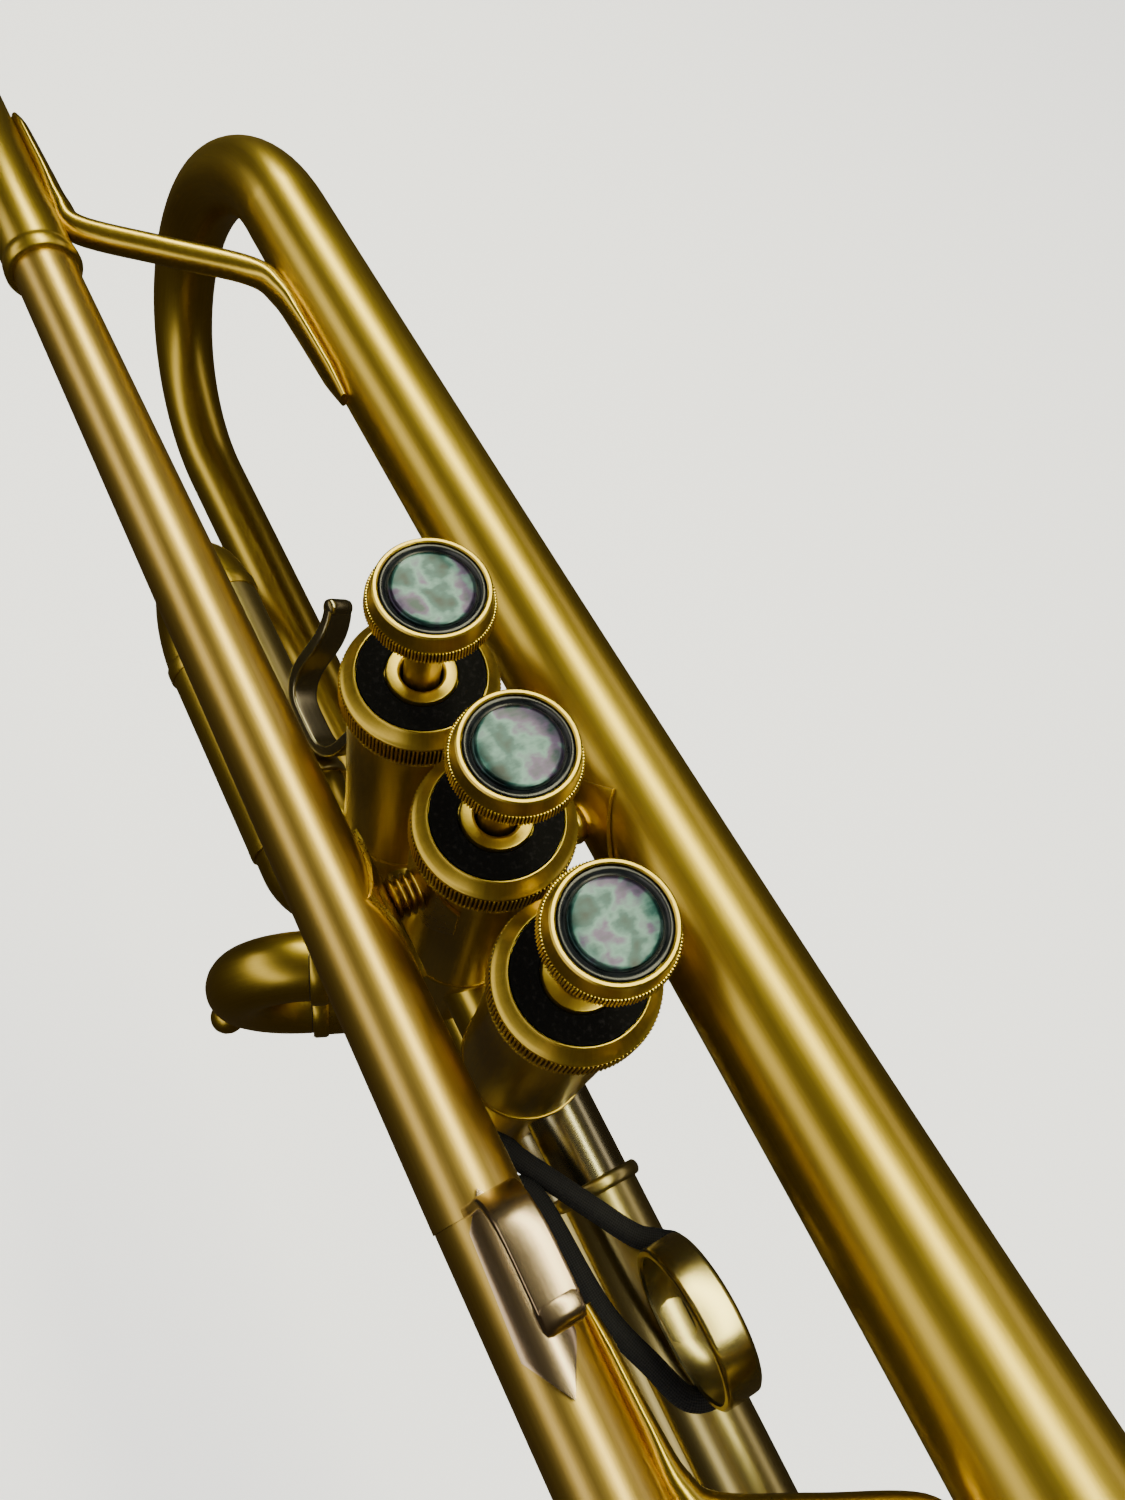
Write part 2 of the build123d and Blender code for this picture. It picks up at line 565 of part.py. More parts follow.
def thumb_saddle():
    """U shaped thumb saddle with flared prongs, on its foot."""
    base = SLEEVE_R + 0.9
    path = FilletPolyline((-12.6, 0, base + 19.5), (-9.6, 0, base + 15), (-9.6, 0, base), (9.6, 0, base),
                          (9.6, 0, base + 15), (12.6, 0, base + 19.5), radius=[5.0, 7.5, 7.5, 5.0])
    start = Plane(origin=path @ 0, x_dir=(0, 1, 0), z_dir=path % 0)
    band = sweep(start * Rectangle(5.5, 2.2), path=path)
    for side in (-1, 1):
        band += bar_between((side * 12.7, -2.75, base + 19.4), (side * 12.7, 2.75, base + 19.4), 1.6)
    foot = Pos(0, 0, SLEEVE_R - 0.2) * Box(11, 5.5, 2.2)
    return saddle_place() * (band + foot) - bar_x(-110, -30, FIRST_UP[0], FIRST_UP[1], SLEEVE_R + 0.02)


# ---- second slide ------------------------------------------------------------------------------
def second_place():
    """Frame of the second slide, with +X outwards along its legs."""
    return Pos(SECOND_BASE_X, 0, 0) * Rot(0, 0, -90 - SECOND_SWEEP)


def second_sleeves():
    """Fixed outer tubes of the second slide."""
    tubes = []
    for z in (SECOND_UP_Z, SECOND_LOW_Z):
        tube = tube_x(0, SECOND_CROOK_S - 0.3, 0, z, SLEEVE_R, LEG_R + FIT)
        tubes.append(second_place() * tube - casing_plug(VALVE_X[1]))
    return Compound(tubes)


def second_path(x0):
    """Path of the second slide's inside, out along the upper leg from x0 and back along the lower."""
    s, up, low = SECOND_CROOK_S, SECOND_UP_Z, SECOND_LOW_Z
    return Wire([Line((x0, 0, up), (s, 0, up)), u_bend((0, up), (0, low), s, 1), Line((s, 0, low), (x0, 0, low))])


def second_crook():
    """Moving crook of the second slide, one tube with its two short inner legs."""
    return second_place() * along(second_path(12.5), LEG_R, BORE_R)


def pull_knob():
    """Ball knob on a short neck, low on the second crook."""
    mid = Vector(SECOND_CROOK_S, 0, (SECOND_UP_Z + SECOND_LOW_Z) / 2)
    way = Vector(math.cos(math.radians(KNOB_DROP)), 0, -math.sin(math.radians(KNOB_DROP)))
    radius = (SECOND_UP_Z - SECOND_LOW_Z) / 2
    skin = radius + LEG_R
    neck = bar_between(tuple(mid + way * (skin - 0.8)), tuple(mid + way * (skin + 6.0)), 1.7)
    ball = Pos(*(mid + way * (skin + 8.3))) * Sphere(3.5)
    crook = sweep(Plane(origin=(SECOND_CROOK_S, 0, SECOND_UP_Z), z_dir=(1, 0, 0)) * Circle(LEG_R + 0.01),
                  path=u_bend((0, SECOND_UP_Z), (0, SECOND_LOW_Z), SECOND_CROOK_S, 1))
    return second_place() * ((neck + ball) - crook)


# ---- third slide -------------------------------------------------------------------------------
def third_legs():
    """Fixed inner legs of the third slide, straight out of the third valve."""
    legs = []
    for z in (THIRD_UP_Z, THIRD_LOW_Z):
        leg = tube_x(VALVE_X[2], 112, THIRD_Y, z, LEG_R, BORE_R)
        legs.append(leg - casing_plug(VALVE_X[2]))
    return Compound(legs)


def third_sleeve(z):
    """Moving outer tube of the third slide with a bead ring at its open end."""
    tube = tube_x(THIRD_SLEEVE_X, THIRD_CROOK_X, THIRD_Y, z, SLEEVE_R, LEG_R + FIT)
    return tube + tube_x(THIRD_SLEEVE_X, THIRD_SLEEVE_X + 2.6, THIRD_Y, z, SLEEVE_R + 1.2, LEG_R + FIT)


def third_crook():
    """Crook of the third slide."""
    return along(u_bend((THIRD_Y, THIRD_UP_Z), (THIRD_Y, THIRD_LOW_Z), THIRD_CROOK_X, 1), SLEEVE_R, BORE_R)


def finger_ring():
    """Flat band ring with a foot that sits on the upper sleeve."""
    def rod(r, half):
        return bar_between((RING_X, RING_Y - half, RING_Z), (RING_X, RING_Y + half, RING_Z), r)
    foot = Pos(RING_X, THIRD_Y, THIRD_UP_Z + SLEEVE_R + 0.3) * Box(11, 5.6, 2.6)
    ring = rod(RING_R, RING_WIDTH / 2) + foot
    ring -= rod(RING_R - RING_WALL, RING_WIDTH)
    return ring - bar_x(40, 120, THIRD_Y, THIRD_UP_Z, SLEEVE_R + 0.02)


POST_X = 38.0              # rear upright stay of the main slide
BAND_Z = -2.0
BAND_R = 1.9


def post_y(z):
    """Where the rear upright stands at height z."""
    share = (LEAD_Z - z) / (LEAD_Z - MAIN_LOW_Z)
    return LEAD_Y + share * (MAIN_LOW_Y - LEAD_Y)


def return_band():
    """Elastic loop from the rear upright round the finger ring, round in section."""
    hold = 2.0 + BAND_R + 0.5
    y = post_y(BAND_Z) - hold
    reach = math.sqrt((RING_R + BAND_R + 0.4) ** 2 - (RING_Z - BAND_Z) ** 2)
    back = RING_Y + RING_WIDTH / 2 + BAND_R + 0.4
    front = RING_Y - RING_WIDTH / 2 - BAND_R
    corners = [(POST_X - hold, y), (POST_X - hold, -10.6), (RING_X - reach, back - 4.2), (RING_X - reach, back),
               (RING_X + reach, back), (RING_X + reach, front + 0.1), (65.0, -6.9), (POST_X + hold, -8.3),
               (POST_X + hold, y)]
    path = FilletPolyline(*[(px, py, BAND_Z) for px, py in corners],
                          radius=[4.0, 6.0, 2.5, 2.6, 2.6, 3.0, 10.0, 4.0, 4.0], close=True)
    start = Plane(origin=path @ 0, z_dir=path % 0)
    return sweep(start * Circle(BAND_R), path=path)


# ---- build -------------------------------------------------------------------------------------
save("leadpipe", leadpipe())
save("mouthpiece_receiver", mouthpiece_receiver())
save("upper_tuning_sleeve", main_sleeve(LEAD_Y, LEAD_Z, LEAD_FRONT_X + 0.02))
save("lower_tuning_sleeve", main_sleeve(MAIN_LOW_Y, MAIN_LOW_Z, 60.02))
save("main_knuckle", main_knuckle())
save("tuning_slide_legs", main_legs())
save("tuning_crook", main_crook())
save("water_key_nipple", water_nipple())
save("water_key_bracket", water_bracket())
save("water_key_lever", water_key())
save("water_key_cork", water_cork())
save("bell", bell())
save("bell_bow", bell_bow())
save("rear_brace", rear_brace())
save("front_brace", front_brace())
save("leadpipe_brace", leadpipe_brace())
save("bell_brace", bell_brace())
save("hook_plate", hook_plate())
save("little_finger_hook", little_finger_hook())

knuckle_trim = along(elbow(60.0, VALVE_X[2] + 10, MAIN_LOW_Y, MAIN_LOW_Z, 10.0, -1), MAIN_SLEEVE_R + 0.02, 0.1)
lead_trim = bar_x(0, 60, LEAD_Y, LEAD_Z, lead_radius(POST_X) + 0.05)
save("rear_upright_stay", stay(POST_X, (LEAD_Y, LEAD_Z), (MAIN_LOW_Y, MAIN_LOW_Z), 2.0,
                               [knuckle_trim, lead_trim]))
sleeve_trims = [bar_x(100, 149, y, z, MAIN_SLEEVE_R + 0.02)
                for y, z in ((LEAD_Y, LEAD_Z), (MAIN_LOW_Y, MAIN_LOW_Z))]
save("front_upright_stay", stay(116.0, (LEAD_Y, LEAD_Z), (MAIN_LOW_Y, MAIN_LOW_Z), 2.0, sleeve_trims))
crook_trims = [bar_x(150, 180, y, z, MAIN_SLEEVE_R + 0.02)
               for y, z in ((LEAD_Y, LEAD_Z), (MAIN_LOW_Y, MAIN_LOW_Z))]
save("crook_stay", stay(166.0, (LEAD_Y, LEAD_Z), (MAIN_LOW_Y, MAIN_LOW_Z), 2.0, crook_trims))

for number, valve_x in enumerate(VALVE_X, start=1):
    save(f"valve_casing_{number}", casing(valve_x))
    save(f"piston_{number}", piston(valve_x))
    save(f"valve_stem_{number}", valve_stem(valve_x))
    save(f"finger_button_{number}", finger_button(valve_x))
    save(f"pearl_insert_{number}", pearl_insert(valve_x))
    save(f"valve_spring_{number}", valve_spring(valve_x))
save("top_caps", Compound([top_cap(x) for x in VALVE_X]))
save("top_felts", Compound([top_felt(x) for x in VALVE_X]))
save("bottom_caps", Compound([bottom_cap(x) for x in VALVE_X]))
save("valve_guides", Compound([valve_guide(x) for x in VALVE_X]))
save("valve_crossovers", crossovers())

save("first_slide_legs", first_legs())
save("first_upper_sleeve", first_sleeve(*FIRST_UP))
save("first_lower_sleeve", first_sleeve(*FIRST_LOW))
save("first_crook", first_crook())
save("thumb_saddle", thumb_saddle())
save("second_slide_sleeves", second_sleeves())
save("second_crook", second_crook())
save("second_pull_knob", pull_knob())
save("third_slide_legs", third_legs())
save("third_upper_sleeve", third_sleeve(THIRD_UP_Z))
save("third_lower_sleeve", third_sleeve(THIRD_LOW_Z))
save("third_crook", third_crook())
save("finger_ring", finger_ring())
save("return_band", return_band())
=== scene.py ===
"""Looks of a three-valve B flat trumpet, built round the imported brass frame, in metres."""
import json
import logging
import math
from dataclasses import dataclass
from enum import Enum
from typing import Callable, Iterable, Optional, Sequence, Union

import bmesh
import bpy
from mathutils import Matrix, Vector

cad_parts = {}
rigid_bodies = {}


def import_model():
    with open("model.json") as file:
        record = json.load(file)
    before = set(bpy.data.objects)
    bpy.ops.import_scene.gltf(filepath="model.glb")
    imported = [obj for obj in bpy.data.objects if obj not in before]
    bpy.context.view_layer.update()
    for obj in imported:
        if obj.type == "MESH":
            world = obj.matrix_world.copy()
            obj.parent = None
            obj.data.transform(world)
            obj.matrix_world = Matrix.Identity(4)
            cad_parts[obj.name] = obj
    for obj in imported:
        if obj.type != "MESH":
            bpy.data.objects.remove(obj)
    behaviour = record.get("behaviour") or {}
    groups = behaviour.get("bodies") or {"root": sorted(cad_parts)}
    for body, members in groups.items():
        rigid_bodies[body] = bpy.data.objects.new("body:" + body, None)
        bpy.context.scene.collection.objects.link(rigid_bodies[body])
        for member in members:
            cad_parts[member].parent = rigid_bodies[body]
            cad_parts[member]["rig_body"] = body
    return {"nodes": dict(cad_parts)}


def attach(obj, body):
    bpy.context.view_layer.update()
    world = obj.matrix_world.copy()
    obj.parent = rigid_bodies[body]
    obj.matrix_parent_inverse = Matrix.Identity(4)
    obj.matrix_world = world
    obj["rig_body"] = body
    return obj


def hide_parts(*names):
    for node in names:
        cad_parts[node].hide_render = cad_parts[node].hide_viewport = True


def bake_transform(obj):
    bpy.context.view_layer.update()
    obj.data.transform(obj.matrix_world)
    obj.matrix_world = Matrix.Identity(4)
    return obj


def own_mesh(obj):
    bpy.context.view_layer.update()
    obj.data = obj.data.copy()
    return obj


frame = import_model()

LOG = logging.getLogger("trumpet")
MM = 0.001
FULL_TURN = 2 * math.pi
TURN_WIDTH = 0.06  # U width, in metres, of one turn round a turned or swept piece
RIDGES = 120  # ridges round a knurled band
BOW_STEPS = 28  # steps round a valve slide's crook
BORE, INNER_TUBE, OUTER_TUBE = 5.83, 6.35, 6.85  # radii of the windway and the slide tubes, in millimetres
GOLD, ROSE, NICKEL = "satin_gold_lacquer", "rose_brass_lacquer", "champagne_nickel"
ALONG_X, ALONG_Y, ALONG_Z = (1, 0, 0), (0, 1, 0), (0, 0, 1)
Pair = tuple[float, float]
Triple = tuple[float, float, float]


class Body(Enum):
    """The moving bodies of the instrument."""

    FIXED = "instrument_body"
    MAIN_SLIDE = "main_tuning_slide"
    WATER_KEY = "water_key"
    FIRST_SLIDE = "first_slide"
    SECOND_SLIDE = "second_slide"
    THIRD_SLIDE = "third_slide"
    VALVE_1 = "valve_1"
    VALVE_2 = "valve_2"
    VALVE_3 = "valve_3"


VALVE_BODIES = (Body.VALVE_1, Body.VALVE_2, Body.VALVE_3)


# ---- shader maths -------------------------------------------------------------------------------
class Value:
    """A number socket that takes part in arithmetic, adding Math nodes as it goes."""

    def __init__(self, recipe: "Recipe", socket: bpy.types.NodeSocket) -> None:
        """Wrap one output socket of a recipe."""
        self.recipe = recipe
        self.socket = socket

    def _math(self, operation: str, first: object, second: object = None) -> "Value":
        """Add one Math node.

        Args:
            operation: the node's operation.
            first: its first value.
            second: its second value, if it has one.

        Returns:
            The node's result.
        """
        inputs = {0: first} if second is None else {0: first, 1: second}
        return self.recipe.number("ShaderNodeMath", {"operation": operation}, inputs)

    def __add__(self, other: object) -> "Value":
        """Sum."""
        return self._math("ADD", self, other)

    __radd__ = __add__

    def __sub__(self, other: object) -> "Value":
        """Difference."""
        return self._math("SUBTRACT", self, other)

    def __rsub__(self, other: object) -> "Value":
        """Difference with the value on the right."""
        return self._math("SUBTRACT", other, self)

    def __mul__(self, other: object) -> "Value":
        """Product."""
        return self._math("MULTIPLY", self, other)

    __rmul__ = __mul__

    def __truediv__(self, other: object) -> "Value":
        """Quotient."""
        return self._math("DIVIDE", self, other)

    def clamped(self) -> "Value":
        """Limit the value to between 0 and 1."""
        return self._math("MINIMUM", self._math("MAXIMUM", self, 0.0), 1.0)

    def sine(self) -> "Value":
        """Sine of the value in radians."""
        return self._math("SINE", self)

    def band(self, low: float, high: float) -> "Value":
        """Ramp from 0 at low to 1 at high."""
        return ((self - low) / (high - low)).clamped()


class Recipe:
    """One material's node tree."""

    def __init__(self, name: str) -> None:
        """Start an empty material with an output node."""
        self.material = bpy.data.materials.new(name)
        self.material.use_nodes = True
        self.tree = self.material.node_tree
        self.tree.nodes.clear()
        self.output = self.tree.nodes.new("ShaderNodeOutputMaterial")

    def add(self, kind: str, settings: Optional[dict] = None, inputs: Optional[dict] = None) -> bpy.types.Node:
        """Add any node.

        Args:
            kind: the node's type.
            settings: properties that are set before its sockets; "stops" fills a colour ramp.
            inputs: values or links, by socket name or number.

        Returns:
            The new node.
        """
        node = self.tree.nodes.new(kind)
        for key, value in (settings or {}).items():
            if key == "stops":
                self._stops(node, value)
            else:
                setattr(node, key, value)
        for key, value in (inputs or {}).items():
            socket = node.inputs[key]
            if isinstance(value, Value):
                self.tree.links.new(value.socket, socket)
            elif isinstance(value, bpy.types.NodeSocket):
                self.tree.links.new(value, socket)
            else:
                socket.default_value = value
        return node

    @staticmethod
    def _stops(node: bpy.types.Node, stops: Sequence[tuple[float, tuple]]) -> None:
        """Fill a colour ramp with (position, colour) stops."""
        elements = node.color_ramp.elements
        while len(elements) < len(stops):
            elements.new(0.5)
        for element, (position, colour) in zip(elements, stops):
            element.position = position
            element.color = colour

    def number(self, kind: str, settings: Optional[dict], inputs: dict, output: Union[int, str] = 0) -> Value:
        """Add a node and wrap one of its number outputs."""
        return Value(self, self.add(kind, settings, inputs).outputs[output])

    def coordinates(self, scale: Triple = (1.0, 1.0, 1.0), source: str = "Object") -> bpy.types.NodeSocket:
        """Texture coordinates of the piece, scaled.

        Args:
            scale: factor along each axis.
            source: "Object" or "UV".

        Returns:
            The scaled vector.
        """
        point = self.add("ShaderNodeTexCoord").outputs[source]
        return self.add("ShaderNodeMapping", None, {"Vector": point, "Scale": scale}).outputs[0]

    def noise(self, vector: bpy.types.NodeSocket, scale: float, detail: float = 3.0) -> Value:
        """Noise between 0 and 1."""
        return self.number("ShaderNodeTexNoise", None, {"Vector": vector, "Scale": scale, "Detail": detail})

    def mix(self, share: Union[float, Value], first: tuple, second: object) -> bpy.types.NodeSocket:
        """Mix two colours."""
        node = self.add("ShaderNodeMix", {"data_type": "RGBA"}, {0: share, 6: first, 7: second})
        return node.outputs[2]

    def bump(self, height: Value, strength: float, distance: float) -> bpy.types.NodeSocket:
        """Bumped normal."""
        node = self.add("ShaderNodeBump", None, {"Height": height, "Strength": strength, "Distance": distance})
        return node.outputs["Normal"]

    def surface(self, **inputs: object) -> bpy.types.Material:
        """Close the recipe with one Principled shader.

        Args:
            inputs: its sockets, with underscores for spaces.

        Returns:
            The finished material.
        """
        named = {key.replace("_", " "): value for key, value in inputs.items()}
        shader = self.add("ShaderNodeBsdfPrincipled", None, named)
        self.tree.links.new(shader.outputs[0], self.output.inputs["Surface"])
        return self.material


# ---- finishes -----------------------------------------------------------------------------------
@dataclass(frozen=True)
class BrushedBrass:
    """Satin brushed metal under clear lacquer.

    The brushing runs along a piece's own U direction when it has one, and otherwise along X.
    """

    name: str
    colour: tuple
    deep: tuple
    roughness: float = 0.34
    along_tube: bool = True
    lacquer: float = 0.25

    def make(self) -> bpy.types.Material:
        """Build the material."""
        recipe = Recipe(self.name)
        broad = recipe.noise(recipe.coordinates(), 22.0, 4.0)
        fine = recipe.noise(recipe.coordinates(), 260.0, 2.0)
        if self.along_tube:
            brush = recipe.noise(recipe.coordinates((2400.0, 70.0, 1.0), "UV"), 1.0, 2.0)
        else:
            brush = recipe.noise(recipe.coordinates((90.0, 2600.0, 2600.0)), 1.0, 2.0)
        tone = (broad * 0.75 + brush * 0.35 - 0.15).clamped()
        return recipe.surface(
            Base_Color=recipe.mix(tone, self.deep, self.colour),
            Metallic=1.0,
            Roughness=(self.roughness - 0.05 + broad * 0.06 + brush * 0.05),
            Coat_Weight=self.lacquer,
            Coat_Roughness=0.22,
            Normal=recipe.bump(brush * 0.8 + fine * 0.3, 0.10, 0.00004),
        )


@dataclass(frozen=True)
class KnurledBrass:
    """Lacquered brass on a turned band, with painted shade darkening the grooves between its ridges."""

    name: str
    colour: tuple
    groove: tuple
    ridges: int

    def make(self) -> bpy.types.Material:
        """Build the material."""
        recipe = Recipe(self.name)
        split = recipe.add("ShaderNodeSeparateXYZ", None, {0: recipe.coordinates(source="UV")})
        crest = (Value(recipe, split.outputs[0]) * (FULL_TURN * self.ridges / TURN_WIDTH) + math.pi / 2).sine()
        grime_and_shade_noise = recipe.noise(recipe.coordinates(), 600.0, 3.0)
        # ridge is 1 on the crests and 0 in the grooves, where the groove colour is painted shade; the noise shifts
        # that edge at random and also varies the roughness.
        ridge = (crest * 0.5 + 0.5 + (grime_and_shade_noise - 0.5) * 0.3).clamped()
        return recipe.surface(
            # Base colour: painted shade in the grooves, gold on the crests.
            Base_Color=recipe.mix(ridge.band(0.25, 0.75), self.groove, self.colour),
            Metallic=1.0,
            Roughness=0.30 + grime_and_shade_noise * 0.1,
            Coat_Weight=0.15,
        )


@dataclass(frozen=True)
class Felt:
    """Dense black wool felt."""

    name: str
    colour: tuple = (0.002, 0.002, 0.002, 1.0)
    fleck: tuple = (0.012, 0.011, 0.011, 1.0)

    def make(self) -> bpy.types.Material:
        """Build the material."""
        recipe = Recipe(self.name)
        fibre = recipe.noise(recipe.coordinates(), 1500.0, 4.0)
        clump = recipe.noise(recipe.coordinates(), 350.0, 3.0)
        return recipe.surface(
            Base_Color=recipe.mix(fibre.band(0.55, 0.80), self.colour, self.fleck),
            Roughness=0.95,
            Specular_IOR_Level=0.15,
            Normal=recipe.bump(fibre * 0.7 + clump * 0.6, 0.6, 0.00025),
        )


@dataclass(frozen=True)
class Pearl:
    """Dark abalone pearl with drifting green, blue and lilac."""

    name: str

    def make(self) -> bpy.types.Material:
        """Build the material."""
        recipe = Recipe(self.name)
        drift = recipe.noise(recipe.coordinates((1.0, 1.6, 1.0)), 150.0, 2.0)
        warped = recipe.noise(recipe.coordinates((1.4, 0.8, 1.0)), 330.0, 4.0)
        ramp = recipe.add("ShaderNodeValToRGB", {"stops": [
            (0.36, (0.002, 0.008, 0.009, 1.0)),
            (0.44, (0.006, 0.030, 0.033, 1.0)),
            (0.50, (0.040, 0.085, 0.088, 1.0)),
            (0.55, (0.036, 0.025, 0.062, 1.0)),
            (0.63, (0.004, 0.016, 0.018, 1.0)),
        ]}, {"Fac": drift * 0.65 + warped * 0.35})
        return recipe.surface(
            Base_Color=ramp.outputs[0],
            Metallic=0.9,
            Roughness=0.30,
            Coat_Weight=0.25,
            Coat_Roughness=0.12,
            Normal=recipe.bump(warped, 0.15, 0.0001),
        )


@dataclass(frozen=True)
class Moulded:
    """Plastic, nylon, cork or enamel with a grain."""

    name: str
    colour: tuple
    mottle: tuple
    roughness: float = 0.4
    grain: float = 900.0
    relief: float = 0.2

    def make(self) -> bpy.types.Material:
        """Build the material."""
        recipe = Recipe(self.name)
        grain = recipe.noise(recipe.coordinates(), self.grain, 4.0)
        return recipe.surface(
            Base_Color=recipe.mix(grain.band(0.35, 0.7), self.colour, self.mottle),
            Roughness=self.roughness + grain * 0.08,
            Normal=recipe.bump(grain, self.relief, 0.0001),
        )


@dataclass(frozen=True)
class WovenElastic:
    """Round elastic cord with a braided black cover."""

    name: str
    strands: int = 14
    picks: float = 190.0

    def make(self) -> bpy.types.Material:
        """Build the material."""
        recipe = Recipe(self.name)
        split = recipe.add("ShaderNodeSeparateXYZ", None, {0: recipe.coordinates(source="UV")})
        round_it, down_it = Value(recipe, split.outputs[0]), Value(recipe, split.outputs[1])
        left = (round_it * (FULL_TURN * self.strands) + down_it * (FULL_TURN * self.picks)).sine()
        right = (round_it * (FULL_TURN * self.strands) - down_it * (FULL_TURN * self.picks)).sine()
        weave = (left * right) * 0.5 + 0.5
        return recipe.surface(
            Base_Color=recipe.mix(weave, (0.002, 0.002, 0.002, 1.0), (0.012, 0.012, 0.013, 1.0)),
            Roughness=0.85 - weave * 0.12,
            Specular_IOR_Level=0.2,
            Normal=recipe.bump(weave, 0.6, 0.00015),
        )


class Palette:
    """Every finish of the instrument, made once."""

    def __init__(self) -> None:
        """Make the materials."""
        gold, deep_gold = (0.79, 0.59, 0.085, 1.0), (0.42, 0.29, 0.03, 1.0)
        rose, deep_rose = (0.81, 0.585, 0.15, 1.0), (0.46, 0.31, 0.06, 1.0)
        pale, deep_pale = (0.68, 0.57, 0.24, 1.0), (0.40, 0.33, 0.11, 1.0)
        grey, deep_grey = (0.52, 0.47, 0.30, 1.0), (0.28, 0.25, 0.14, 1.0)
        blush, deep_blush = (0.64, 0.50, 0.34, 1.0), (0.38, 0.28, 0.18, 1.0)
        self.gold = BrushedBrass("satin_gold_lacquer", gold, deep_gold).make()
        self.gold_flat = BrushedBrass("satin_gold_fittings", gold, deep_gold, 0.28, False).make()
        # The dark brown given here is painted shade for the knurl grooves.
        self.knurl = KnurledBrass("knurled_gold", gold, (0.09, 0.05, 0.006, 1.0), RIDGES).make()
        self.rose = BrushedBrass("rose_brass_lacquer", rose, deep_rose, 0.36).make()
        self.champagne = BrushedBrass("champagne_nickel", pale, deep_pale, 0.33).make()
        self.champagne_flat = BrushedBrass("champagne_fittings", pale, deep_pale, 0.23, False).make()
        self.nickel = BrushedBrass("plain_nickel", grey, deep_grey, 0.24, False, 0.0).make()
        self.blush = BrushedBrass("blush_nickel", blush, deep_blush, 0.25, False).make()
        self.steel = BrushedBrass("spring_steel", (0.55, 0.55, 0.56, 1.0), (0.34, 0.34, 0.35, 1.0), 0.25, False,
                                  0.0).make()
        self.felt = Felt("black_felt").make()
        self.pearl = Pearl("dark_pearl").make()
        self.enamel = Moulded("black_enamel", (0.003, 0.004, 0.005, 1.0), (0.010, 0.012, 0.014, 1.0), 0.24, 500.0,
                              0.1).make()
        self.nylon = Moulded("white_guide", (0.80, 0.79, 0.74, 1.0), (0.70, 0.69, 0.63, 1.0), 0.5, 700.0).make()
        self.cork = Moulded("cork", (0.50, 0.33, 0.18, 1.0), (0.28, 0.17, 0.09, 1.0), 0.85, 1400.0, 0.7).make()
        self.elastic = WovenElastic("black_elastic").make()


# ---- mesh making --------------------------------------------------------------------------------
@dataclass(frozen=True)
class Station:
    """One cross-section of a swept piece: its centre, heading and half sizes across."""

    centre: Vector
    heading: Vector
    wide: float
    high: float

    @staticmethod
    def round(centre: Sequence[float], heading: Sequence[float], radius: float) -> "Station":
        """A round section, all in millimetres."""
        return Station(Vector(centre) * MM, Vector(heading).normalized(), radius * MM, radius * MM)

    @staticmethod
    def flat(centre: Sequence[float], heading: Sequence[float], wide: float, high: float) -> "Station":
        """An oval section, all in millimetres."""
        return Station(Vector(centre) * MM, Vector(heading).normalized(), wide * MM, high * MM)


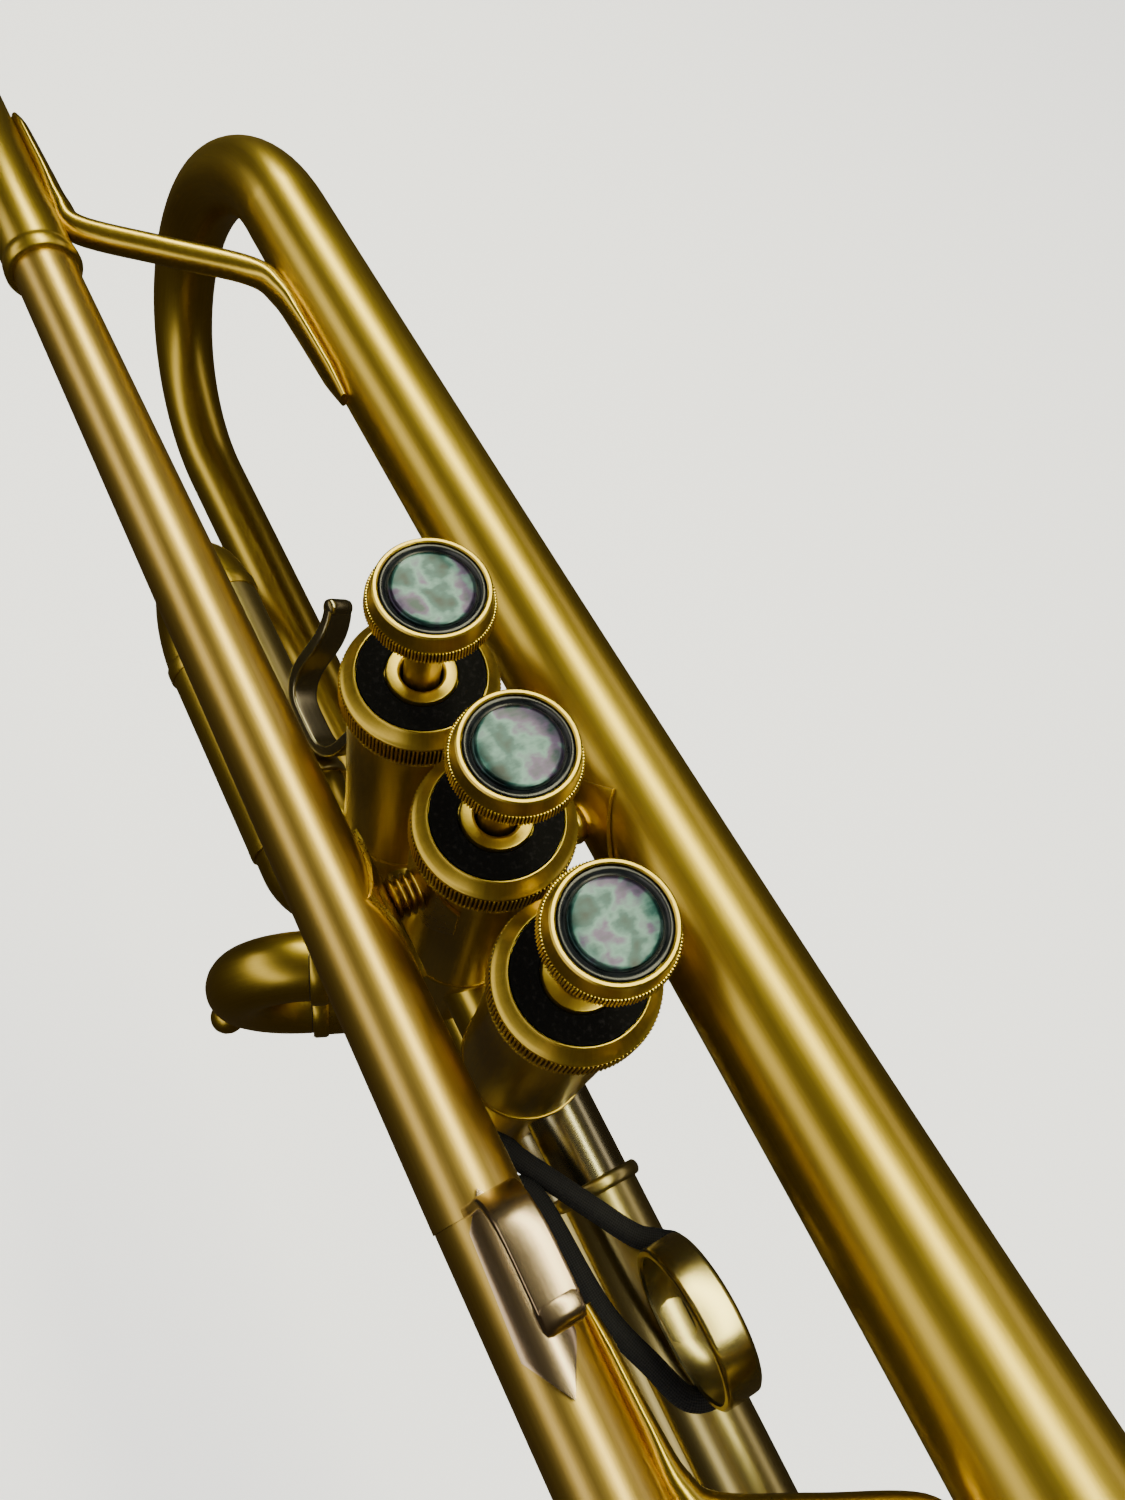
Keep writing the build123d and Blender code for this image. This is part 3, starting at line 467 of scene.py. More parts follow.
class Workpiece:
    """A mesh in the making, shaped with bmesh operators."""

    def __init__(self, name: str) -> None:
        """Start an empty piece."""
        self.name = name
        self.mesh = bmesh.new()

    def turn(self, profile: Sequence[Pair], origin: Triple, axis: Triple, steps: int = 96) -> "Workpiece":
        """Spin a closed profile round an axis.

        Args:
            profile: (distance along the axis, radius) points in millimetres.
            origin: a point on the axis, in millimetres.
            axis: direction of the axis.
            steps: divisions of the full turn.

        Returns:
            This piece.
        """
        base, way = Vector(origin) * MM, Vector(axis).normalized()
        side = way.orthogonal().normalized()
        points = [self.mesh.verts.new(base + way * (a * MM) + side * (r * MM)) for a, r in profile]
        links = [self.mesh.edges.new(pair) for pair in zip(points, points[1:] + points[:1])]
        bmesh.ops.spin(self.mesh, geom=points + links, cent=base, axis=way, angle=FULL_TURN, steps=steps,
                       use_merge=True)
        self._layout_turned(base, way, side)
        return self

    def _layout_turned(self, base: Vector, way: Vector, side: Vector) -> None:
        """Lay out a map: U round the axis in turns, V along it in metres."""
        chart = self.mesh.loops.layers.uv.verify()
        other = way.cross(side)
        for face in self.mesh.faces:
            turns = []
            for corner in face.loops:
                arm = corner.vert.co - base
                turns.append(math.atan2(arm.dot(other), arm.dot(side)) / FULL_TURN)
            if max(turns) - min(turns) > 0.5:
                turns = [t + 1 if t < 0 else t for t in turns]
            for corner, t in zip(face.loops, turns):
                corner[chart].uv = (t * TURN_WIDTH, (corner.vert.co - base).dot(way))

    def sweep(self, stations: Sequence[Station], up: Triple, sides: int = 40, closed: bool = False) -> "Workpiece":
        """Carry a section along its stations.

        Args:
            stations: the sections in order.
            up: a direction that the sections' high side keeps to.
            sides: corners of each section.
            closed: True when the last section joins the first.

        Returns:
            This piece.
        """
        column = self.mesh.verts.layers.int.new("column")
        row = self.mesh.verts.layers.int.new("row")
        unit = bmesh.ops.create_circle(self.mesh, cap_ends=False, segments=sides, radius=1.0)["verts"]
        for index, vert in enumerate(unit):
            vert[column] = index
        edges = list({edge for vert in unit for edge in vert.link_edges})
        first_edges, rings = edges, unit
        place = Matrix.Identity(4)
        for number, station in enumerate(stations):
            if number:
                grown = bmesh.ops.extrude_edge_only(self.mesh, edges=edges)["geom"]
                rings = [g for g in grown if isinstance(g, bmesh.types.BMVert)]
                edges = [g for g in grown if isinstance(g, bmesh.types.BMEdge)]
            for vert in rings:
                vert[row] = number
            target = self._frame(station, Vector(up))
            bmesh.ops.transform(self.mesh, matrix=target @ place.inverted(), verts=rings)
            place = target
        if closed:
            bmesh.ops.bridge_loops(self.mesh, edges=first_edges + edges)
        else:
            bmesh.ops.contextual_create(self.mesh, geom=first_edges)
            bmesh.ops.contextual_create(self.mesh, geom=edges)
        self._layout_swept(stations, sides, closed)
        return self

    @staticmethod
    def _frame(station: Station, up: Vector) -> Matrix:
        """Matrix that places the unit circle at a station."""
        ahead = station.heading
        wide = up.cross(ahead)
        wide = wide.normalized() if wide.length > 1e-6 else ahead.orthogonal().normalized()
        high = ahead.cross(wide)
        turned = Matrix((wide, high, ahead)).transposed().to_4x4()
        return Matrix.Translation(station.centre) @ turned @ Matrix.Diagonal((station.wide, station.high, 1, 1))

    def _layout_swept(self, stations: Sequence[Station], sides: int, closed: bool) -> None:
        """Lay out a map: U round the section in turns, V along the piece in metres."""
        column, row = self.mesh.verts.layers.int["column"], self.mesh.verts.layers.int["row"]
        chart = self.mesh.loops.layers.uv.verify()
        length = [0.0]
        for a, b in zip(stations, stations[1:]):
            length.append(length[-1] + (b.centre - a.centre).length)
        whole = length[-1] + (stations[0].centre - stations[-1].centre).length
        scale = 1.0 if closed else TURN_WIDTH
        for face in self.mesh.faces:
            across = [corner.vert[column] for corner in face.loops]
            down = [corner.vert[row] for corner in face.loops]
            wrap_across = max(across) - min(across) > sides / 2
            wrap_down = closed and max(down) - min(down) > len(stations) / 2
            for corner, c, d in zip(face.loops, across, down):
                c = c + sides if wrap_across and c < sides / 2 else c
                v = whole if wrap_down and d == 0 else length[d]
                corner[chart].uv = (c / sides * scale, v / whole if closed else v)

    def ribbon(self, path: Sequence[Triple], widths: Sequence[float], across: Triple) -> "Workpiece":
        """Draw an edge along a path to make a strip.

        Args:
            path: points in millimetres.
            widths: the strip's width at each point, in millimetres.
            across: direction of the width.

        Returns:
            This piece.
        """
        side = Vector(across).normalized()
        here = Vector(path[0]) * MM
        ends = [self.mesh.verts.new(here + side * (s * widths[0] * MM / 2)) for s in (-1, 1)]
        edges = [self.mesh.edges.new(ends)]
        for point, width, before in zip(path[1:], widths[1:], widths):
            grown = bmesh.ops.extrude_edge_only(self.mesh, edges=edges)["geom"]
            verts = [g for g in grown if isinstance(g, bmesh.types.BMVert)]
            edges = [g for g in grown if isinstance(g, bmesh.types.BMEdge)]
            there = Vector(point) * MM
            bmesh.ops.translate(self.mesh, vec=there - here, verts=verts)
            for vert in verts:
                vert.co += side * ((vert.co - there).dot(side) * (width / before - 1))
            here = there
        return self

    def wrap(self, outline: Sequence[Pair], centre: Triple, axis: Triple, out: Triple, radius: float,
             across: int = 10) -> "Workpiece":
        """Lay a plate, with the same outline on both sides of its middle, round a tube.

        Args:
            outline: (place along the axis, half width) points in millimetres.
            centre: a point on the tube's axis, in millimetres.
            axis: direction of the tube.
            out: direction from the axis to the plate's middle.
            radius: distance of the plate from the axis, in millimetres.
            across: divisions across the plate.

        Returns:
            This piece.
        """
        spans, each = len(outline) - 1, 12
        bmesh.ops.create_grid(self.mesh, x_segments=spans * each, y_segments=across, size=1.0)
        way, up = Vector(axis).normalized(), Vector(out).normalized()
        side, base = way.cross(up), Vector(centre)

        def lay(point: Vector) -> Vector:
            """Place one corner of the flat grid on the tube."""
            run = (point.x + 1) / 2 * spans
            step = min(int(run + 1e-6), spans - 1)
            share = run - step
            (a, wide_a), (b, wide_b) = outline[step], outline[step + 1]
            turn = point.y * math.asin((wide_a + (wide_b - wide_a) * share) / radius)
            return (base + way * (a + (b - a) * share) + (up * math.cos(turn) + side * math.sin(turn)) * radius) * MM

        return self.shape_each(lay)

    def block(self, centre: Triple, size: Triple, round_by: float, tilt: Optional[Matrix] = None) -> "Workpiece":
        """Add a block with rounded edges, in millimetres."""
        cube = bmesh.ops.create_cube(self.mesh, size=1.0)["verts"]
        shape = Matrix.Diagonal((*(s * MM for s in size), 1))
        bmesh.ops.transform(self.mesh, verts=cube, matrix=shape)
        edges = list({edge for vert in cube for edge in vert.link_edges})
        made = bmesh.ops.bevel(self.mesh, geom=edges, offset=round_by * MM, offset_type="OFFSET", segments=3,
                               profile=0.5, affect="EDGES", material=-1)
        verts = list({v for face in made["faces"] for v in face.verts} | {v for v in cube if v.is_valid})
        place = Matrix.Translation(Vector(centre) * MM) @ (tilt or Matrix.Identity(4))
        bmesh.ops.transform(self.mesh, verts=verts, matrix=place)
        return self

    def shape_each(self, change: Callable[[Vector], Vector]) -> "Workpiece":
        """Move every vertex by a rule."""
        for vert in self.mesh.verts:
            vert.co = change(vert.co)
        return self

    def done(self, body: Body, material: bpy.types.Material, slot: str, stands_for: Iterable[str] = (),
             wall: float = 0.0, bevel: float = 0.0, rounds: int = 0, sharp: float = 42.0) -> bpy.types.Object:
        """Close the mesh and hand the piece to its body.

        Args:
            body: the body that it moves with.
            material: its finish.
            slot: name of the record's material slot; not used.
            stands_for: CAD nodes that it replaces.
            wall: sheet thickness in millimetres, for an open sheet.
            bevel: edge rounding in millimetres.
            rounds: subdivision levels.
            sharp: angle in degrees above which an edge stays crisp.

        Returns:
            The finished object.
        """
        bmesh.ops.remove_doubles(self.mesh, verts=self.mesh.verts, dist=1e-7)
        bmesh.ops.recalc_face_normals(self.mesh, faces=self.mesh.faces)
        data = bpy.data.meshes.new(self.name)
        self.mesh.to_mesh(data)
        self.mesh.free()
        data.materials.append(material)
        piece = bpy.data.objects.new(self.name, data)
        bpy.context.scene.collection.objects.link(piece)
        if wall:
            sheet = piece.modifiers.new("wall", "SOLIDIFY")
            sheet.thickness, sheet.offset = wall * MM, 0.0
        if bevel:
            edge = piece.modifiers.new("edge", "BEVEL")
            edge.width, edge.segments, edge.limit_method, edge.angle_limit = bevel * MM, 3, "ANGLE", math.radians(40)
        if rounds:
            soft = piece.modifiers.new("soft", "SUBSURF")
            soft.levels = soft.render_levels = rounds
        data.shade_smooth()
        data.set_sharp_from_angle(angle=math.radians(sharp))
        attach(piece, body.value)
        if stands_for:
            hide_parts(*stands_for)
        LOG.info("%s: %d faces on %s", self.name, len(data.polygons), body.value)
        return piece


def smooth_path(points: Sequence[Triple], per_span: int, closed: bool) -> list[Vector]:
    """Points of a smooth curve through corner points.

    Args:
        points: the corners, in millimetres.
        per_span: points on each span.
        closed: True for a loop.

    Returns:
        The curve's points, in millimetres.
    """
    corners = [Vector(p) for p in points]
    count = len(corners)
    spans = count if closed else count - 1
    found: list[Vector] = []
    for i in range(spans):
        if closed:
            a, b, c, d = (corners[(i + k) % count] for k in (-1, 0, 1, 2))
        else:
            b, c = corners[i], corners[i + 1]
            a = corners[i - 1] if i else b * 2 - c
            d = corners[i + 2] if i + 2 < count else c * 2 - b
        for k in range(per_span):
            t = k / per_span
            found.append(0.5 * ((2 * b) + (c - a) * t + (2 * a - 5 * b + 4 * c - d) * t ** 2
                                + (3 * b - a - 3 * c + d) * t ** 3))
    if not closed:
        found.append(corners[-1])
    return found


def headings(path: Sequence[Vector], closed: bool) -> list[Vector]:
    """Direction of a path at each of its points."""
    last = len(path) - 1
    ways = []
    for i in range(len(path)):
        ahead = path[(i + 1) % len(path)] if closed else path[min(i + 1, last)]
        behind = path[i - 1] if closed else path[max(i - 1, 0)]
        ways.append((ahead - behind).normalized())
    return ways


def half_turn(upper: Pair, lower: Pair, x: float, straight: float, forward: int, count: int) -> list[tuple]:
    """Centres and headings of a crook, from the upper leg round to the lower, in millimetres."""
    up, low = Vector((x, *upper)), Vector((x, *lower))
    reach = Vector((forward, 0, 0))
    middle, arm = (up + low) / 2 + reach * straight, (up - low) / 2
    line = [(up, reach), (up + reach * straight * 0.5, reach)] if straight else []
    for i in range(count + 1):
        turn = math.pi * i / count
        centre = middle + arm * math.cos(turn) + reach * (arm.length * math.sin(turn))
        line.append((centre, reach * math.cos(turn) - arm.normalized() * math.sin(turn)))
    if straight:
        line += [(low + reach * straight * 0.5, -reach), (low, -reach)]
    return line


# ---- studio -------------------------------------------------------------------------------------
@dataclass
class Studio:
    """Camera, floor and lights."""

    eye: Triple = (0.047928, -0.044051, 0.198623)
    heading: float = 0.7492156
    pitch: float = 1.0781464
    roll: float = 0.3722692
    lens: float = 27.67
    floor_z: float = -0.42
    floor_half: float = 14.0

    def camera(self) -> None:
        """Set the camera over the player's shoulder, looking down at the valves."""
        data = bpy.data.cameras.new("camera")
        data.sensor_fit, data.sensor_width, data.sensor_height = "AUTO", 36.0, 36.0
        data.lens, data.clip_start, data.clip_end = self.lens, 0.005, 50.0
        a, e, r = self.heading, self.pitch, self.roll
        ahead = Vector((-math.sin(a) * math.cos(e), math.cos(a) * math.cos(e), -math.sin(e)))
        right = Vector((math.cos(a), math.sin(a), 0.0))
        up = right.cross(ahead)
        across = right * math.cos(r) + up * math.sin(r)
        upward = up * math.cos(r) - right * math.sin(r)
        turned = Matrix((across, upward, -ahead)).transposed().to_4x4()
        eye = bpy.data.objects.new("camera", data)
        eye.matrix_world = Matrix.Translation(self.eye) @ turned
        bpy.context.scene.collection.objects.link(eye)
        bpy.context.scene.camera = eye

    def floor(self) -> None:
        """Lay a plain pale floor well under the instrument."""
        mesh = bmesh.new()
        bmesh.ops.create_grid(mesh, x_segments=2, y_segments=2, size=self.floor_half,
                              matrix=Matrix.Translation((0, 0, self.floor_z)))
        data = bpy.data.meshes.new("floor")
        mesh.to_mesh(data)
        mesh.free()
        recipe = Recipe("pale_floor")
        cloud = recipe.noise(recipe.coordinates(), 0.7, 2.0)
        data.materials.append(recipe.surface(
            Base_Color=recipe.mix(cloud, (0.93, 0.93, 0.92, 1.0), (0.96, 0.96, 0.95, 1.0)), Roughness=0.9,
            Emission_Color=(1.0, 1.0, 0.99, 1.0), Emission_Strength=1.0))
        floor = bpy.data.objects.new("floor", data)
        bpy.context.scene.collection.objects.link(floor)
        floor.visible_glossy = False

    def lights(self) -> None:
        """Hang soft boxes and light the room."""
        self._box("overhead_strip", (-0.30, 0.36, 1.15), 2.6, 0.22, 28.0, (1.0, 0.96, 0.62))
        self._box("side_strip", (-0.20, -1.10, 0.75), 2.8, 0.42, 9.0, (1.0, 0.93, 0.80))
        self._box("left_glow", (0.10, 1.30, 0.70), 2.2, 0.30, 3.0, (1.0, 0.90, 0.80))
        self._box("room_light", (0.2, 0.0, 2.4), 2.8, 2.8, 70.0, (1.0, 1.0, 1.0), glossy=False)
        world = bpy.data.worlds.new("room")
        bpy.context.scene.world = world
        world.use_nodes = True
        tree = world.node_tree
        tree.nodes.clear()
        seen = tree.nodes.new("ShaderNodeBackground")
        seen.inputs[0].default_value, seen.inputs[1].default_value = (0.93, 0.93, 0.92, 1.0), 1.0
        room = tree.nodes.new("ShaderNodeBackground")
        room.inputs[0].default_value, room.inputs[1].default_value = (0.26, 0.20, 0.12, 1.0), 0.14
        kind = tree.nodes.new("ShaderNodeLightPath")
        mix = tree.nodes.new("ShaderNodeMixShader")
        out = tree.nodes.new("ShaderNodeOutputWorld")
        tree.links.new(kind.outputs["Is Camera Ray"], mix.inputs[0])
        tree.links.new(room.outputs[0], mix.inputs[1])
        tree.links.new(seen.outputs[0], mix.inputs[2])
        tree.links.new(mix.outputs[0], out.inputs[0])

    @staticmethod
    def _box(name: str, place: Triple, wide: float, deep: float, power: float, colour: Triple,
             glossy: bool = True) -> None:
        """Hang one soft box that faces the valves."""
        data = bpy.data.lights.new(name, "AREA")
        data.shape, data.size, data.size_y, data.energy, data.color = "RECTANGLE", wide, deep, power, colour
        lamp = bpy.data.objects.new(name, data)
        back = Vector(place).normalized()
        along = (Vector(ALONG_X) - back * back.x).normalized()
        turned = Matrix((along, back.cross(along), back)).transposed().to_4x4()
        lamp.matrix_world = Matrix.Translation(place) @ turned
        lamp.visible_glossy = glossy
        bpy.context.scene.collection.objects.link(lamp)


# ---- mouthpipe side -----------------------------------------------------------------------------
@dataclass
class Mouthpipe:
    """Leadpipe, receiver and the little finger hook."""

    y: float = -22.4
    z: float = 35.6
    back: float = -192.0
    joint: float = -135.0
    front: float = 44.0
    socket: float = 4.9

    def radius(self, x: float) -> float:
        """Outside radius of the leadpipe at x."""
        return 6.40 + 0.0058 * x

    def leadpipe(self, finish: Palette) -> None:
        """Tapered mouthpipe."""
        tail = self.radius(self.joint)
        profile = [(self.joint - 18, tail), (self.joint, tail)]
        profile += [(x, self.radius(x)) for x in (-100, -60, -20, 20, self.front)]
        profile += [(self.front, BORE), (self.joint - 18, 4.4)]
        Workpiece("mouthpipe").turn(profile, (0, self.y, self.z), ALONG_X).done(
            Body.FIXED, finish.rose, ROSE, ["leadpipe"])

    def receiver(self, finish: Palette) -> None:
        """Receiver with a rolled rear lip, a turned groove and a front bead."""
        a, b, seat = self.back, self.joint, self.radius(self.joint) + 0.02
        profile = [(a + 24, 4.4), (a + 24, self.socket), (a + 1.0, self.socket), (a, 5.5), (a, 6.5), (a + 0.4, 7.1),
                   (a + 1.2, 7.2), (a + 2.6, 7.2), (a + 3.3, 7.0), (a + 3.6, 6.5), (a + 8, 6.4), (a + 8.3, 6.2),
                   (a + 8.9, 6.2), (a + 9.2, 6.4), (b - 9, 6.5), (b - 4.0, 6.5), (b - 3.4, 6.45), (b - 3.0, 6.75),
                   (b - 1.9, 6.88), (b - 0.9, 6.88), (b - 0.2, 6.6), (b, 6.2), (b, seat), (b - 18.2, seat),
                   (b - 18.2, 4.4)]
        Workpiece("receiver").turn(profile, (0, self.y, self.z), ALONG_X).done(
            Body.FIXED, finish.gold, GOLD, ["mouthpiece_receiver"])

    def hook(self, finish: Palette) -> None:
        """Flat hook band that curls forward to a rolled end."""
        rise = [(43.6, self.z + 7.2), (43.6, 47.0), (43.6, 51.0)]
        bend = [(51.1 - 7.5 * math.cos(t), 54.7 + 7.5 * math.sin(t)) for t in
                (math.radians(angle) for angle in range(0, 91, 15))]
        spine = rise + bend + [(55.0, 62.2), (57.2, 62.1)]
        path = [(x, self.y, z) for x, z in spine]
        widths = [6.2, 5.6] + [5.3] * (len(path) - 2)
        Workpiece("finger_hook").ribbon(path, widths, ALONG_Y).done(
            Body.FIXED, finish.blush, ROSE, ["little_finger_hook"], wall=1.4, bevel=0.35)
        roll = [(-2.65, 0.0), (-2.65, 1.3), (-2.35, 1.9), (-1.8, 2.1), (1.8, 2.1), (2.35, 1.9), (2.65, 1.3),
                (2.65, 0.0)]
        Workpiece("finger_hook_roll").turn(roll, (57.6, self.y, 61.2), ALONG_Y, 48).done(
            Body.FIXED, finish.blush, ROSE)
        kite = [(41.7, 0.05), (46.0, 3.0), (62.0, 3.7), (68.5, 0.05)]
        Workpiece("finger_hook_plate").wrap(kite, (0, self.y, self.z), ALONG_X, ALONG_Z, 7.02).done(
            Body.FIXED, finish.blush, ROSE, ["hook_plate"], wall=0.62, bevel=0.12)


# ---- bell ---------------------------------------------------------------------------------------
@dataclass
class BellSection:
    """Bell, rolled rim and bow."""

    y: float = 27.4
    z: float = 34.8
    yaw: float = 1.03
    tail: float = -137.8
    rim: float = 292.0
    rim_radius: float = 61.5
    throat: float = 5.0
    scale: float = 24.0
    power: float = 0.965
    wall: float = 0.6
    low_y: float = 3.94
    low_z: float = -34.75
    low_radius: float = 6.35

    def radius(self, x: float) -> float:
        """Outside radius at a distance along the bell's axis."""
        gap = self.rim - x
        return self.throat + (self.rim_radius - self.throat) * (self.scale / (gap + self.scale)) ** self.power

    def axis_y(self, x: float) -> float:
        """Place of the axis in Y."""
        return self.y + math.tan(math.radians(self.yaw)) * x

    def bell(self, finish: Palette) -> None:
        """Flaring bell with its rolled rim."""
        count = 72
        start, run = self.tail + 0.02, self.rim - 0.52 - self.tail
        xs = [start + run * (1 - (1 - i / count) ** 2.2) for i in range(count + 1)]
        outer = [(x, self.radius(x)) for x in xs]
        inner = [(x, self.radius(x) - self.wall) for x in reversed(xs)]
        centre, bead = (self.rim - 1.02, self.rim_radius - 1.24), 1.46
        roll = []
        for i in range(13):
            turn = math.radians(-150 + 300 * i / 12)
            roll.append((centre[0] + bead * math.cos(turn), centre[1] - bead * math.sin(turn)))
        profile = outer[:-3] + list(reversed(roll)) + inner[3:]
        lean = (math.cos(math.radians(self.yaw)), math.sin(math.radians(self.yaw)), 0.0)
        Workpiece("bell_flare").turn(profile, (0, self.y, self.z), lean, 160).done(
            Body.FIXED, finish.gold, GOLD, ["bell"])

    def bow(self, finish: Palette) -> None:
        """Wide bow and the long leg into the first valve."""
        low = Vector((self.tail, self.low_y, self.low_z))
        top = Vector((self.tail, self.axis_y(self.tail), self.z))
        middle, half, back = (low + top) / 2, (top - low) / 2, Vector((-1, 0, 0))
        end = self.radius(self.tail)
        line = [Station.round((x, self.low_y, self.low_z), back, self.low_radius)
                for x in (-33.8, -60, -90, -115, -130)]
        for i in range(49):
            share = i / 48
            turn = math.pi * share
            centre = middle - half * math.cos(turn) + back * (half.length * math.sin(turn))
            ahead = half.normalized() * math.sin(turn) + back * math.cos(turn)
            line.append(Station.round(centre, ahead, self.low_radius + (end - self.low_radius) * share ** 1.6))
        line.append(Station.round(top + Vector((1.5, 0, 0)), ALONG_X, end - 0.2))
        Workpiece("bow_and_leg").sweep(line, (0, 1, -0.3), 56).done(
            Body.FIXED, finish.gold, GOLD, ["bell_bow"])
        collar = [(-40, 6.3), (-40, 6.9), (-39.6, 7.15), (-35, 7.15), (-34.2, 7.1), (-34.2, 6.3)]
        Workpiece("bow_collar").turn(collar, (0, self.low_y, self.low_z), ALONG_X).done(
            Body.FIXED, finish.gold, GOLD)


# ---- valves -------------------------------------------------------------------------------------
@dataclass
class ValveSet:
    """Casings, caps, felts, buttons, stems and springs of the valves."""

    pitch: float = 24.5
    cap_radius: float = 11.95
    spring_turns: float = 9.0
    spring_low: float = 17.1
    spring_high: float = 41.7
    spring_foot: float = 0.01702
    coil: float = 5.9
    wire: float = 0.5

    def places(self) -> list[tuple[int, float, Body]]:
        """Number, place along X and moving body of each valve."""
        return [(i + 1, (i - 1) * self.pitch, VALVE_BODIES[i]) for i in range(3)]

    def _knurl(self, name: str, low: float, high: float, radius: Pair, x: float, depth: float, body: Body,
               finish: Palette) -> None:
        """Turn a band and cut ridges round it.

        Args:
            name: name of the piece.
            low: height of the band's lower edge, in millimetres.
            high: height of its upper edge.
            radius: its radius at the lower and at the upper edge.
            x: place of the axis.
            depth: how deep the grooves are.
            body: the body that it moves with.
            finish: the palette.
        """
        inner = min(radius) - 0.9
        profile = [(low, inner), (low, radius[0] - 0.15), (low + 0.15, radius[0]), (high - 0.15, radius[1]),
                   (high, radius[1] - 0.15), (high, inner)]

        def groove(point: Vector) -> Vector:
            """Pull every second column of the rim inward."""
            arm = Vector((point.x - x * MM, point.y, 0))
            column = round((math.atan2(arm.y, arm.x) % FULL_TURN) / FULL_TURN * RIDGES * 2)
            if arm.length < (inner + 0.2) * MM or column % 2 == 0:
                return point
            return point - arm.normalized() * (depth * MM)

        Workpiece(name).turn(profile, (x, 0, 0), ALONG_Z, RIDGES * 2).shape_each(groove).done(
            body, finish.knurl, GOLD, sharp=24.0)

    def casings(self, finish: Palette) -> None:
        """Two-part casings with their turned step."""
        for number, x, _ in self.places():
            profile = [(-46.0, 8.75), (-46.0, 9.9), (0.9, 9.9), (1.2, 10.3), (1.2, 10.75), (1.6, 10.9), (2.4, 10.9),
                       (2.8, 10.75), (2.8, 10.6), (46.5, 10.6), (46.5, 8.75)]
            Workpiece(f"casing_{number}").turn(profile, (x, 0, 0), ALONG_Z, 112).done(
                Body.FIXED, finish.gold, GOLD, [f"valve_casing_{number}"])

    def caps(self, finish: Palette) -> None:
        """Top caps with a knurled band and a concave shoulder, and plain bottom caps."""
        for number, x, _ in self.places():
            top = [(44.8, 10.65), (44.8, 11.2), (45.6, 11.6), (46.2, 11.75), (46.4, 11.3), (50.6, 11.3), (50.7, 11.6),
                   (50.8, 11.7), (51.15, 11.68), (51.27, 11.58), (51.33, 11.46), (51.75, 11.0), (52.2, 10.55),
                   (52.7, 10.1), (52.98, 9.86), (53.08, 9.74), (53.1, 9.6), (52.9, 9.5), (51.5, 9.5), (51.5, 5.3),
                   (53.0, 5.25), (53.35, 5.1), (53.4, 4.9), (53.4, 3.6), (53.25, 3.3), (52.9, 3.1), (48.5, 3.1),
                   (48.5, 9.0), (46.6, 9.0), (46.6, 10.65)]
            stands = ["top_caps"] if number == 1 else []
            Workpiece(f"top_cap_{number}").turn(top, (x, 0, 0), ALONG_Z, 128).done(
                Body.FIXED, finish.gold, GOLD, stands, sharp=24.0)
            self._knurl(f"top_cap_knurl_{number}", 46.3, 50.6, (self.cap_radius,) * 2, x, 0.4, Body.FIXED, finish)
            low = [(-53.4, 1.6), (-53.6, 2.4), (-54.0, 4.0), (-54.0, 9.2), (-53.8, 9.9), (-53.2, 10.4), (-52.4, 10.6),
                   (-52.3, 10.4), (-46.9, 10.4), (-46.8, 10.7), (-45.3, 10.8), (-44.8, 10.6), (-44.8, 9.95),
                   (-46.1, 9.95), (-46.1, 9.0), (-52.5, 9.0), (-52.5, 1.6)]
            stands = ["bottom_caps"] if number == 1 else []
            Workpiece(f"bottom_cap_{number}").turn(low, (x, 0, 0), ALONG_Z, 112).done(
                Body.FIXED, finish.gold, GOLD, stands)
            self._knurl(f"bottom_cap_knurl_{number}", -52.3, -46.9, (11.0, 11.0), x, 0.35, Body.FIXED, finish)

    def felts(self, finish: Palette) -> None:
        """Black felt rings, dished and a little compressed under the buttons."""
        for number, x, _ in self.places():
            profile = [(51.55, 5.4), (51.55, 9.4), (52.7, 9.43), (52.98, 9.3), (52.85, 8.8), (52.6, 8.0),
                       (52.45, 7.2), (52.5, 6.4), (52.7, 5.9), (52.8, 5.6), (52.6, 5.38)]
            stands = ["top_felts"] if number == 1 else []
            Workpiece(f"felt_{number}").turn(profile, (x, 0, 0), ALONG_Z, 96).done(
                Body.FIXED, finish.felt, "black_felt", stands)

    def buttons(self, finish: Palette) -> None:
        """Buttons with a beaded flange, a black ring and a raised pearl disc, on their stems."""
        for number, x, body in self.places():
            cup = [(70.0, 0.0), (70.0, 7.6), (70.1, 8.0), (70.35, 8.3), (70.5, 8.2), (72.3, 8.2), (72.4, 8.35),
                   (72.8, 8.22), (74.3, 7.92), (74.8, 7.83), (75.0, 7.6),
                   (75.0, 7.25), (74.85, 7.05), (74.0, 7.0), (73.0, 7.0), (73.0, 0.0)]
            Workpiece(f"button_{number}").turn(cup, (x, 0, 0), ALONG_Z, 112).done(
                body, finish.gold, GOLD, [f"finger_button_{number}"], sharp=28.0)
            self._knurl(f"button_knurl_{number}", 70.35, 72.35, (8.8, 8.7), x, 0.28, body, finish)
            ring = [(73.05, 0.0), (73.05, 6.95), (74.55, 6.95), (74.8, 6.8), (74.85, 6.6), (74.75, 6.35),
                    (74.45, 6.2), (74.3, 6.0), (74.3, 0.0)]
            Workpiece(f"button_ring_{number}").turn(ring, (x, 0, 0), ALONG_Z, 96).done(
                body, finish.enamel, "dark_pearl", [f"pearl_insert_{number}"])
            disc = [(74.3, 0.0), (74.3, 5.75), (74.55, 5.78), (74.75, 5.68), (74.86, 5.5), (74.9, 5.1), (74.93, 3.0),
                    (74.95, 0.0)]
            Workpiece(f"pearl_disc_{number}").turn(disc, (x, 0, 0), ALONG_Z, 96).done(
                body, finish.pearl, "dark_pearl")
            stem = [(43.0, 0.0), (43.0, 2.7), (69.3, 2.7), (69.65, 2.8), (69.95, 3.2), (69.96, 0.0)]
